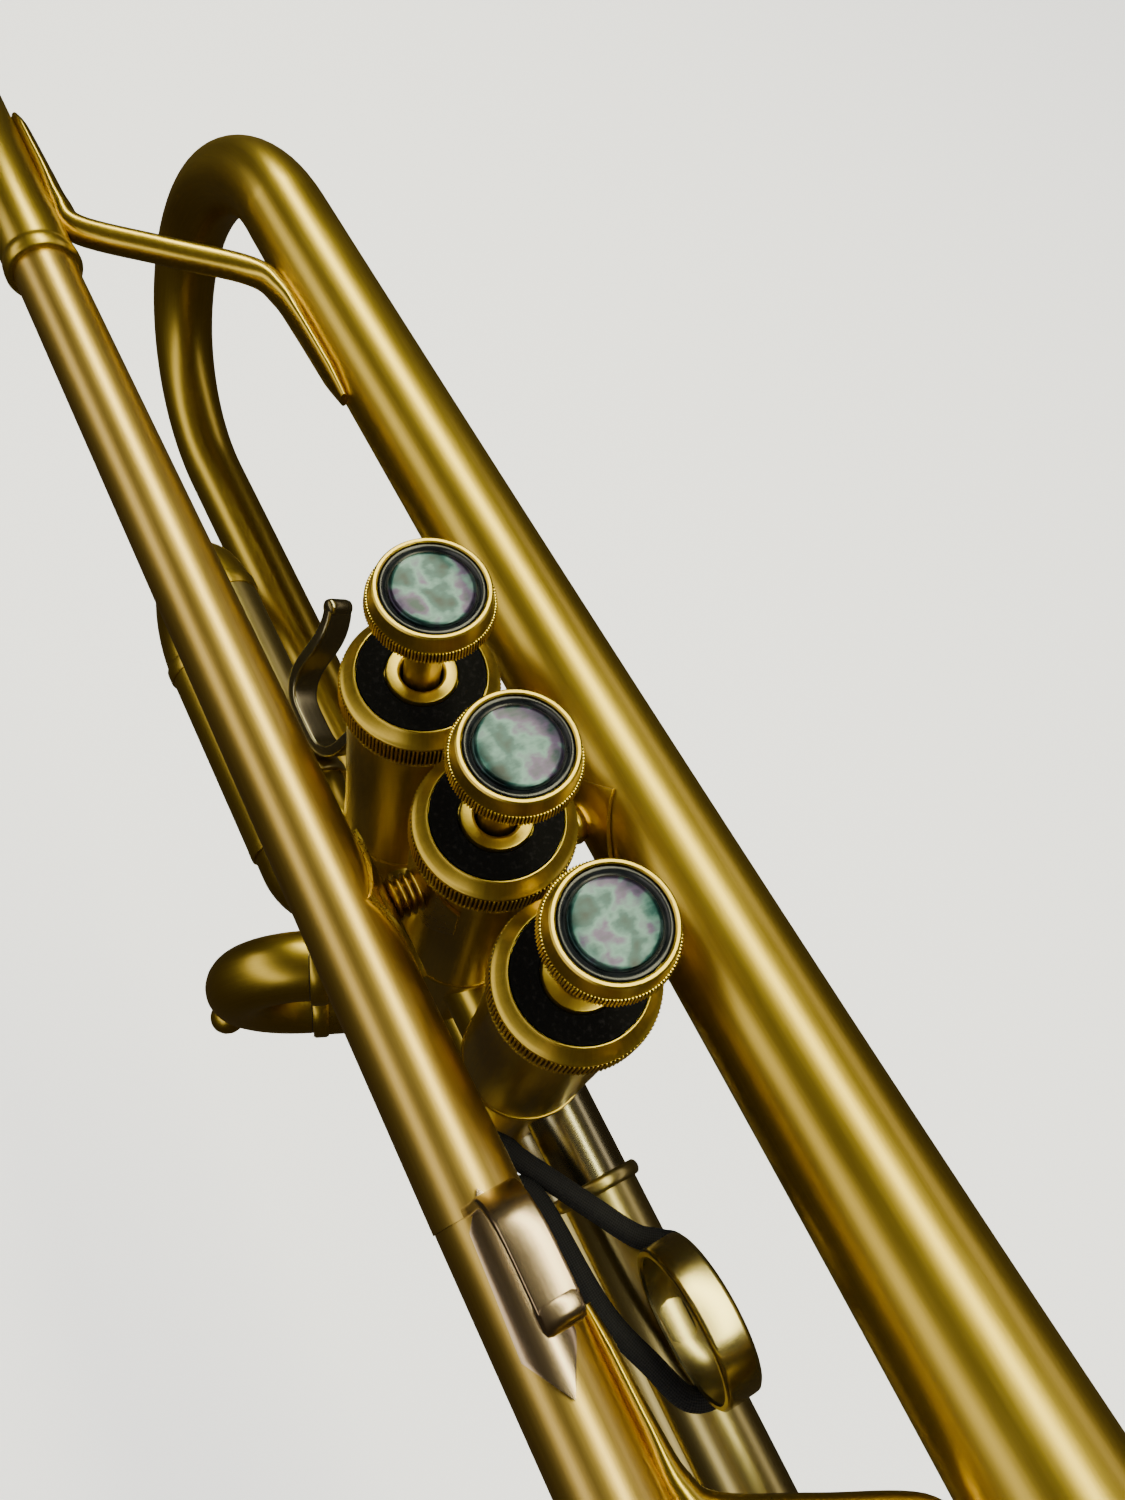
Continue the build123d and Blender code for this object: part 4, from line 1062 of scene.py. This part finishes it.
            Workpiece(f"stem_{number}").turn(stem, (x, 0, 0), ALONG_Z, 48).done(
                body, finish.gold, GOLD, [f"valve_stem_{number}"])

    def springs(self, finish: Palette) -> None:
        """Coiled return springs, built at full length on the fixed body."""
        low, high = self.spring_low + 0.55, self.spring_high - 0.55
        for number, x, _ in self.places():
            count = int(self.spring_turns * 20)
            line = []
            for i in range(count + 1):
                share = i / count
                turn = FULL_TURN * self.spring_turns * share
                rise = min(max((share - 0.08) / 0.84, 0.0), 1.0)
                line.append(Vector((self.coil * math.cos(turn) + x, self.coil * math.sin(turn),
                                    low + (high - low) * rise)))
            stations = [Station.round(p, h, self.wire) for p, h in zip(line, headings(line, False))]
            piece = Workpiece(f"spring_{number}").sweep(stations, ALONG_Z, 8).done(
                Body.FIXED, finish.steel, "spring_steel", [f"valve_spring_{number}"])
            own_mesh(piece)


# ---- slides -------------------------------------------------------------------------------------
@dataclass
class SlideTube:
    """Straight outer tube of a slide, with a bead at its open end."""

    name: str
    node: str
    y: float
    z: float
    open_end: float
    far_end: float
    radius: float = OUTER_TUBE
    inside: float = 6.36
    bead: float = 0.5
    bead_length: float = 2.5

    def make(self, body: Body, material: bpy.types.Material, slot: str) -> None:
        """Turn the tube."""
        way = 1 if self.far_end > self.open_end else -1
        span, half = abs(self.far_end - self.open_end), self.bead_length / 2
        profile = [(0.0, self.inside), (0.0, self.radius + self.bead * 0.3)]
        for i in range(1, 8):
            turn = math.pi * i / 8
            profile.append((half - half * math.cos(turn), self.radius + self.bead * (0.3 + 0.7 * math.sin(turn))))
        profile += [(self.bead_length, self.radius), (span * 0.5, self.radius), (span, self.radius),
                    (span, self.inside)]
        Workpiece(self.name).turn(profile, (self.open_end, self.y, self.z), (way, 0, 0), 80).done(
            body, material, slot, [self.node])


@dataclass
class FirstSlide:
    """First valve slide with its thumb saddle."""

    upper: Pair = (-11.3, -10.0)
    lower: Pair = (-18.3, -35.0)
    crook_x: float = -88.0
    open_x: float = -40.5
    saddle_x: float = -50.2
    lean: float = 33.0

    def tubes(self, finish: Palette) -> None:
        """Sleeves and crook."""
        SlideTube("first_sleeve_up", "first_upper_sleeve", *self.upper, self.open_x, self.crook_x).make(
            Body.FIRST_SLIDE, finish.champagne, NICKEL)
        SlideTube("first_sleeve_low", "first_lower_sleeve", *self.lower, self.open_x, self.crook_x, bead=0.06).make(
            Body.FIRST_SLIDE, finish.gold, NICKEL)
        line = [Station.round(c, h, OUTER_TUBE) for c, h in
                half_turn(self.upper, self.lower, self.crook_x, 0.0, -1, BOW_STEPS)]
        Workpiece("first_bow").sweep(line, (0, 1, -0.27), 48).done(
            Body.FIRST_SLIDE, finish.gold, NICKEL, ["first_crook"])
        for number, (y, z) in enumerate((self.upper, self.lower), start=1):
            band = [(-1.6, 6.7), (-1.6, 7.1), (-1.1, 7.3), (1.1, 7.3), (1.6, 7.1), (1.6, 6.7)]
            Workpiece(f"first_ferrule_{number}").turn(band, (self.crook_x, y, z), ALONG_X, 80).done(
                Body.FIRST_SLIDE, finish.gold, NICKEL)

    def saddle(self, finish: Palette) -> None:
        """Saddle of bent sheet, leaning to the player's left, with flared lips."""
        base = OUTER_TUBE + 0.9
        half = [(0.0, base), (4.0, base), (6.2, base + 0.7), (8.2, base + 2.6), (9.4, base + 5.6), (9.6, base + 9.0),
                (9.7, base + 12.5), (10.3, base + 15.6), (11.6, base + 18.2), (12.9, base + 19.6)]
        spine = [(-a, 0.0, b) for a, b in reversed(half[1:])] + [(a, 0.0, b) for a, b in half]
        place = Matrix.Rotation(math.radians(-self.lean), 4, "X")
        seat = Vector((self.saddle_x, *self.upper))
        path = [tuple(place @ Vector(p) + seat) for p in spine]
        widths = [5.4, 5.7, 6.2, 6.6, 6.8, 6.6, 6.2, 5.7, 5.5]
        widths = widths + [5.5] + list(reversed(widths))
        across = tuple(place.to_3x3() @ Vector(ALONG_Y))
        Workpiece("thumb_rest").ribbon(path, widths, across).done(
            Body.FIRST_SLIDE, finish.nickel, NICKEL, ["thumb_saddle"], wall=2.3, bevel=0.6, rounds=2)
        half_roll = [(1.6, 1.65), (2.3, 1.5), (2.7, 1.0), (2.75, 0.0)]
        roll = [(-a, r) for a, r in reversed(half_roll)] + half_roll
        for side, tip in (("rear", path[0]), ("front", path[-1])):
            Workpiece(f"thumb_rest_{side}_roll").turn(roll, tip, across, 40).done(
                Body.FIRST_SLIDE, finish.nickel, NICKEL)
        centre = place @ Vector((0, 0, 6.6)) + seat
        Workpiece("thumb_rest_foot").block(tuple(centre), (10.5, 5.4, 2.2), 0.6, place).done(
            Body.FIRST_SLIDE, finish.nickel, NICKEL)


@dataclass
class SecondSlide:
    """Second valve slide with its pull knob."""

    base_x: float = 1.5
    sweep: float = 22.0
    upper_z: float = -11.5
    lower_z: float = -37.5
    crook: float = 27.3
    drop: float = 52.0

    def _place(self) -> Matrix:
        """Frame whose +X runs out along the slide, in millimetres."""
        return Matrix.Translation((self.base_x, 0, 0)) @ Matrix.Rotation(math.radians(-90 - self.sweep), 4, "Z")

    def tubes(self, finish: Palette) -> None:
        """Crook with its inner legs, and ferrules on the fixed sleeves."""
        place = self._place()
        turn = place.to_3x3()
        line = []
        for centre, ahead in half_turn((0, self.upper_z), (0, self.lower_z), self.crook, 0.0, 1, BOW_STEPS):
            line.append(Station.round(place @ centre, turn @ ahead, INNER_TUBE))
        Workpiece("second_bow").sweep(line, tuple(turn @ Vector(ALONG_Y)), 48).done(
            Body.SECOND_SLIDE, finish.gold, GOLD, ["second_crook"])
        out = tuple(turn @ Vector(ALONG_X))
        for number, z in enumerate((self.upper_z, self.lower_z), start=1):
            base = tuple(place @ Vector((0, 0, z)))
            leg = [(12.5, BORE), (12.5, 6.3), (self.crook + 0.2, 6.3), (self.crook + 0.2, BORE)]
            Workpiece(f"second_leg_{number}").turn(leg, base, out, 64).done(
                Body.SECOND_SLIDE, finish.nickel, GOLD)
            end = self.crook - 0.3
            band = [(end - 3.0, 6.7), (end - 3.0, 7.1), (end - 2.5, 7.35), (end - 0.5, 7.35), (end, 7.1), (end, 6.7)]
            Workpiece(f"second_ferrule_{number}").turn(band, base, out, 80).done(
                Body.FIXED, finish.gold, GOLD)

    def knob(self, finish: Palette) -> None:
        """Ball knob on a turned neck."""
        place = self._place()
        way = Vector((math.cos(math.radians(self.drop)), 0, -math.sin(math.radians(self.drop))))
        middle = Vector((self.crook, 0, (self.upper_z + self.lower_z) / 2))
        skin = (self.upper_z - self.lower_z) / 2 + 6.3
        base = tuple(place @ (middle + way * skin))
        profile = [(-0.6, 0.0), (-0.6, 2.8), (0.3, 2.5), (1.0, 1.9), (2.2, 1.6), (3.6, 1.6), (4.3, 2.0), (4.7, 2.3),
                   (5.1, 2.0)]
        for i in range(3, 13):
            turn = math.pi * i / 12
            profile.append((8.3 - 3.5 * math.cos(turn), max(3.5 * math.sin(turn), 0.0)))
        Workpiece("pull_knob").turn(profile, base, tuple(place.to_3x3() @ way), 56).done(
            Body.SECOND_SLIDE, finish.gold, GOLD, ["second_pull_knob"])


@dataclass
class ThirdSlide:
    """Third valve slide with its finger ring and elastic loop."""

    y: float = 4.2
    upper_z: float = -12.0
    lower_z: float = -38.0
    open_x: float = 47.5
    crook_x: float = 118.0
    ring_x: float = 72.7
    ring_y: float = 4.4
    ring_z: float = 7.45
    ring_radius: float = 12.6
    ring_width: float = 6.2
    loop_z: float = -2.0
    cord: float = 1.9
    loop: tuple = ((33.6, -21.4), (33.6, -12.6), (36.0, -9.3), (39.1, -7.8), (46.1, -3.6), (52.4, 0.2), (58.4, 4.0),
                   (61.2, 7.6), (63.6, 9.6), (72.5, 9.9), (81.9, 9.6), (84.1, 7.0), (84.2, 2.6), (82.2, -0.7),
                   (76.2, -3.0), (68.7, -5.7), (61.5, -6.9), (49.0, -7.7), (43.6, -9.0), (42.3, -12.6),
                   (42.3, -20.8), (38.0, -23.0))

    def tubes(self, finish: Palette) -> None:
        """Sleeves with round beads, and the crook."""
        SlideTube("third_sleeve_up", "third_upper_sleeve", self.y, self.upper_z, self.open_x, self.crook_x,
                  bead=1.2, bead_length=2.6).make(Body.THIRD_SLIDE, finish.champagne, NICKEL)
        SlideTube("third_sleeve_low", "third_lower_sleeve", self.y, self.lower_z, self.open_x, self.crook_x,
                  bead=1.2, bead_length=2.6).make(Body.THIRD_SLIDE, finish.champagne, NICKEL)
        line = [Station.round(c, h, OUTER_TUBE) for c, h in
                half_turn((self.y, self.upper_z), (self.y, self.lower_z), self.crook_x, 0.0, 1, BOW_STEPS)]
        Workpiece("third_bow").sweep(line, ALONG_Y, 48).done(
            Body.THIRD_SLIDE, finish.champagne, NICKEL, ["third_crook"])

    def ring(self, finish: Palette) -> None:
        """Flat band ring, a little hollow inside, on its foot."""
        half, outer = self.ring_width / 2, self.ring_radius
        profile = [(-half, outer - 1.0), (-half, outer - 0.35), (-half + 0.3, outer - 0.05), (-half + 0.8, outer),
                   (half - 0.8, outer), (half - 0.3, outer - 0.05), (half, outer - 0.35), (half, outer - 1.0),
                   (half - 0.4, outer - 1.3), (half * 0.5, outer - 1.05), (0.0, outer - 0.95),
                   (-half * 0.5, outer - 1.05), (-half + 0.4, outer - 1.3)]
        Workpiece("ring_band").turn(profile, (self.ring_x, self.ring_y, self.ring_z), ALONG_Y, 128).done(
            Body.THIRD_SLIDE, finish.champagne_flat, NICKEL, ["finger_ring"])
        Workpiece("ring_foot").block((self.ring_x, self.y, self.upper_z + 7.15), (10.6, 5.4, 2.3), 0.6).done(
            Body.THIRD_SLIDE, finish.champagne_flat, NICKEL)

    def elastic(self, finish: Palette) -> None:
        """Elastic loop from the rear upright round the ring."""
        path = smooth_path([(x, y, self.loop_z) for x, y in self.loop], 7, True)
        line = [Station.round(p, h, self.cord) for p, h in zip(path, headings(path, True))]
        piece = Workpiece("elastic_loop").sweep(line, ALONG_Z, 20, closed=True)
        made = piece.done(Body.FIXED, finish.elastic, "black_elastic", ["return_band"])
        made.parent = None
        del made["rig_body"]
        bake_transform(made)


@dataclass
class MainSlide:
    """Main tuning slide and its fixed sleeves."""

    upper: Pair = (-22.4, 35.6)
    lower: Pair = (-13.5, -36.5)
    sleeve_end: float = 150.0
    crook_x: float = 180.0

    def sleeves(self, finish: Palette) -> None:
        """Fixed outer sleeves with ferrules at their mouths."""
        for name, node, (y, z), start, look in (
                ("upper_sleeve", "upper_tuning_sleeve", self.upper, 44.05, finish.rose),
                ("lower_sleeve", "lower_tuning_sleeve", self.lower, 60.05, finish.gold)):
            SlideTube(name, node, y, z, self.sleeve_end, start, 6.45, 6.1, 0.7, 5.0).make(
                Body.FIXED, look, GOLD)

    def crook(self, finish: Palette) -> None:
        """Crook with a socket on each leg."""
        start = self.sleeve_end + 9.05
        line = [Station.round(c, h, 6.45) for c, h in
                half_turn(self.upper, self.lower, start, self.crook_x - start, 1, 40)]
        Workpiece("tuning_bow").sweep(line, (0, 1, 0.12), 52).done(
            Body.MAIN_SLIDE, finish.gold, GOLD, ["tuning_crook"])
        for number, (y, z) in enumerate((self.upper, self.lower), start=1):
            band = [(0.6, 6.1), (0.6, 6.9), (0.9, 7.05), (8.0, 7.05), (8.6, 6.9), (9.05, 6.5), (9.05, 6.1)]
            Workpiece(f"tuning_socket_{number}").turn(band, (self.sleeve_end, y, z), ALONG_X, 80).done(
                Body.MAIN_SLIDE, finish.gold, GOLD)


# ---- braces -------------------------------------------------------------------------------------
@dataclass
class PostBrace:
    """Turned post between the second valve and a tube, with a plate soldered at each end."""

    name: str
    node: str
    tube_y: float
    z: float
    tube_radius: float
    plate: Pair
    post: Sequence[Pair]
    casing_radius: float = 10.9

    def make(self, finish: Palette) -> None:
        """Wrap the two plates and turn the post."""
        side = 1 if self.tube_y > 0 else -1
        long, wide = self.plate
        lens = [(-long, 0.05), (0.0, wide), (long, 0.05)]
        Workpiece(f"{self.name}_tube_plate").wrap(
            lens, (0, self.tube_y, self.z), ALONG_X, (0, -side, 0), self.tube_radius + 0.36).done(
            Body.FIXED, finish.gold_flat, GOLD, [self.node], wall=0.8, bevel=0.15)
        patch = [(-8.5, 3.5), (-4.5, 7.4), (4.5, 7.4), (8.5, 3.5)]
        Workpiece(f"{self.name}_casing_plate").wrap(
            patch, (0, 0, self.z), ALONG_Z, (0, side, 0), self.casing_radius).done(
            Body.FIXED, finish.gold_flat, GOLD, wall=0.55, bevel=0.12)
        Workpiece(f"{self.name}_post").turn(self.post, (0, 0, self.z), (0, side, 0), 64).done(
            Body.FIXED, finish.gold_flat, GOLD)

    @staticmethod
    def ringed(start: float, end: float, radius: float, crest: float, rings: int) -> list[Pair]:
        """Profile of a post with rounded rings.

        Args:
            start: distance from the valve's axis where the post begins, in millimetres.
            end: distance where it ends.
            radius: radius between the rings.
            crest: radius of the rings.
            rings: number of rings.

        Returns:
            The (distance, radius) outline.
        """
        profile = [(start, 0.0)]
        for i in range(rings * 8 + 1):
            wave = 0.5 - 0.5 * math.cos(FULL_TURN * i / 8)
            profile.append((start + (end - start) * i / (rings * 8), radius + (crest - radius) * wave ** 0.6))
        return profile + [(end, 0.0)]


@dataclass
class SBrace:
    """Bent rod between the mouthpipe and the bell, flattened to a tongue at each end."""

    name: str
    node: str
    z: float
    route: tuple

    def make(self, finish: Palette) -> None:
        """Sweep the rod, spreading it into its tongues.

        Each point of the route is (x, y, half thickness, half width).
        """
        corners = [(x, y, self.z) for x, y, _, _ in self.route]
        path = smooth_path(corners, 8, False)
        line = []
        for index, (point, ahead) in enumerate(zip(path, headings(path, False))):
            place = min(index / 8, len(self.route) - 1.0)
            low = int(place)
            high = min(low + 1, len(self.route) - 1)
            share = place - low
            thin = self.route[low][2] * (1 - share) + self.route[high][2] * share
            wide = self.route[low][3] * (1 - share) + self.route[high][3] * share
            line.append(Station.flat(point, ahead, thin, wide))
        Workpiece(self.name).sweep(line, ALONG_Z, 28).done(
            Body.FIXED, finish.gold_flat, GOLD, [self.node])


# ---- assembly -----------------------------------------------------------------------------------
def carry_over(finish: Palette) -> None:
    """Keep the plain CAD pieces as they are and give them their finish."""
    plain = {
        finish.gold_flat: ["rear_upright_stay", "front_upright_stay", "crook_stay", "main_knuckle",
                           "first_slide_legs", "second_slide_sleeves", "valve_crossovers", "water_key_nipple",
                           "water_key_bracket", "water_key_lever"],
        finish.nickel: ["third_slide_legs", "tuning_slide_legs", "piston_1", "piston_2", "piston_3"],
        finish.nylon: ["valve_guides"],
        finish.cork: ["water_key_cork"],
    }
    for material, names in plain.items():
        for name in names:
            piece = frame["nodes"][name]
            piece.data.materials.clear()
            piece.data.materials.append(material)
            LOG.info("%s: carried over", name)


def braces(finish: Palette) -> None:
    """Solder the two turned braces and the two bent stays between mouthpipe, valves and bell."""
    PostBrace("mouthpipe_brace", "leadpipe_brace", -22.4, 35.6, tube_radius=6.5, plate=(12.4, 5.8),
              post=PostBrace.ringed(10.7, 15.3, 2.5, 3.3, 4)).make(finish)
    PostBrace("bell_side_brace", "bell_brace", 27.4, 34.8, tube_radius=9.95, plate=(12.4, 8.3),
              post=PostBrace.ringed(10.7, 17.3, 2.6, 3.45, 2)).make(finish)
    SBrace("rear_stay", "rear_brace", 35.2, (
        (-177.0, -15.2, 0.8, 1.6), (-172.0, -15.0, 1.3, 3.2), (-160.0, -14.8, 1.5, 3.4), (-151.0, -14.8, 2.0, 3.1),
        (-144.5, -13.4, 2.7, 2.7), (-135.0, -0.6, 2.7, 2.7), (-125.5, 12.6, 2.7, 2.7), (-118.5, 15.6, 2.2, 3.0),
        (-109.0, 16.0, 1.5, 3.3), (-97.0, 16.3, 1.3, 3.1), (-90.5, 16.5, 0.8, 1.6))).make(finish)
    SBrace("front_stay", "front_brace", 35.4, (
        (60.5, -15.2, 0.8, 1.4), (66.0, -15.1, 1.3, 3.1), (76.0, -14.9, 1.5, 3.3), (83.5, -14.6, 2.2, 2.9),
        (88.8, -11.9, 2.7, 2.7), (95.5, -0.2, 2.7, 2.7), (102.3, 11.9, 2.7, 2.7), (108.0, 14.8, 2.2, 2.9),
        (118.0, 15.6, 1.5, 3.3), (129.0, 15.6, 1.3, 3.0), (135.5, 15.5, 0.8, 1.4))).make(finish)


def main() -> None:
    """Build every sub-assembly in order and report each piece."""
    logging.basicConfig(level=logging.INFO, format="%(name)s %(message)s")
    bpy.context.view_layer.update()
    studio = Studio()
    studio.camera()
    finish = Palette()
    studio.floor()
    studio.lights()
    carry_over(finish)
    mouthpipe, bell, valves = Mouthpipe(), BellSection(), ValveSet()
    first, second, third, main_slide = FirstSlide(), SecondSlide(), ThirdSlide(), MainSlide()
    for build in (mouthpipe.leadpipe, mouthpipe.receiver, mouthpipe.hook, bell.bell, bell.bow, valves.casings,
                  valves.caps, valves.felts, valves.buttons, valves.springs, first.tubes, first.saddle,
                  second.tubes, second.knob, third.tubes, third.ring, third.elastic, main_slide.sleeves,
                  main_slide.crook, braces):
        build(finish)


if __name__ == "__main__":
    main()
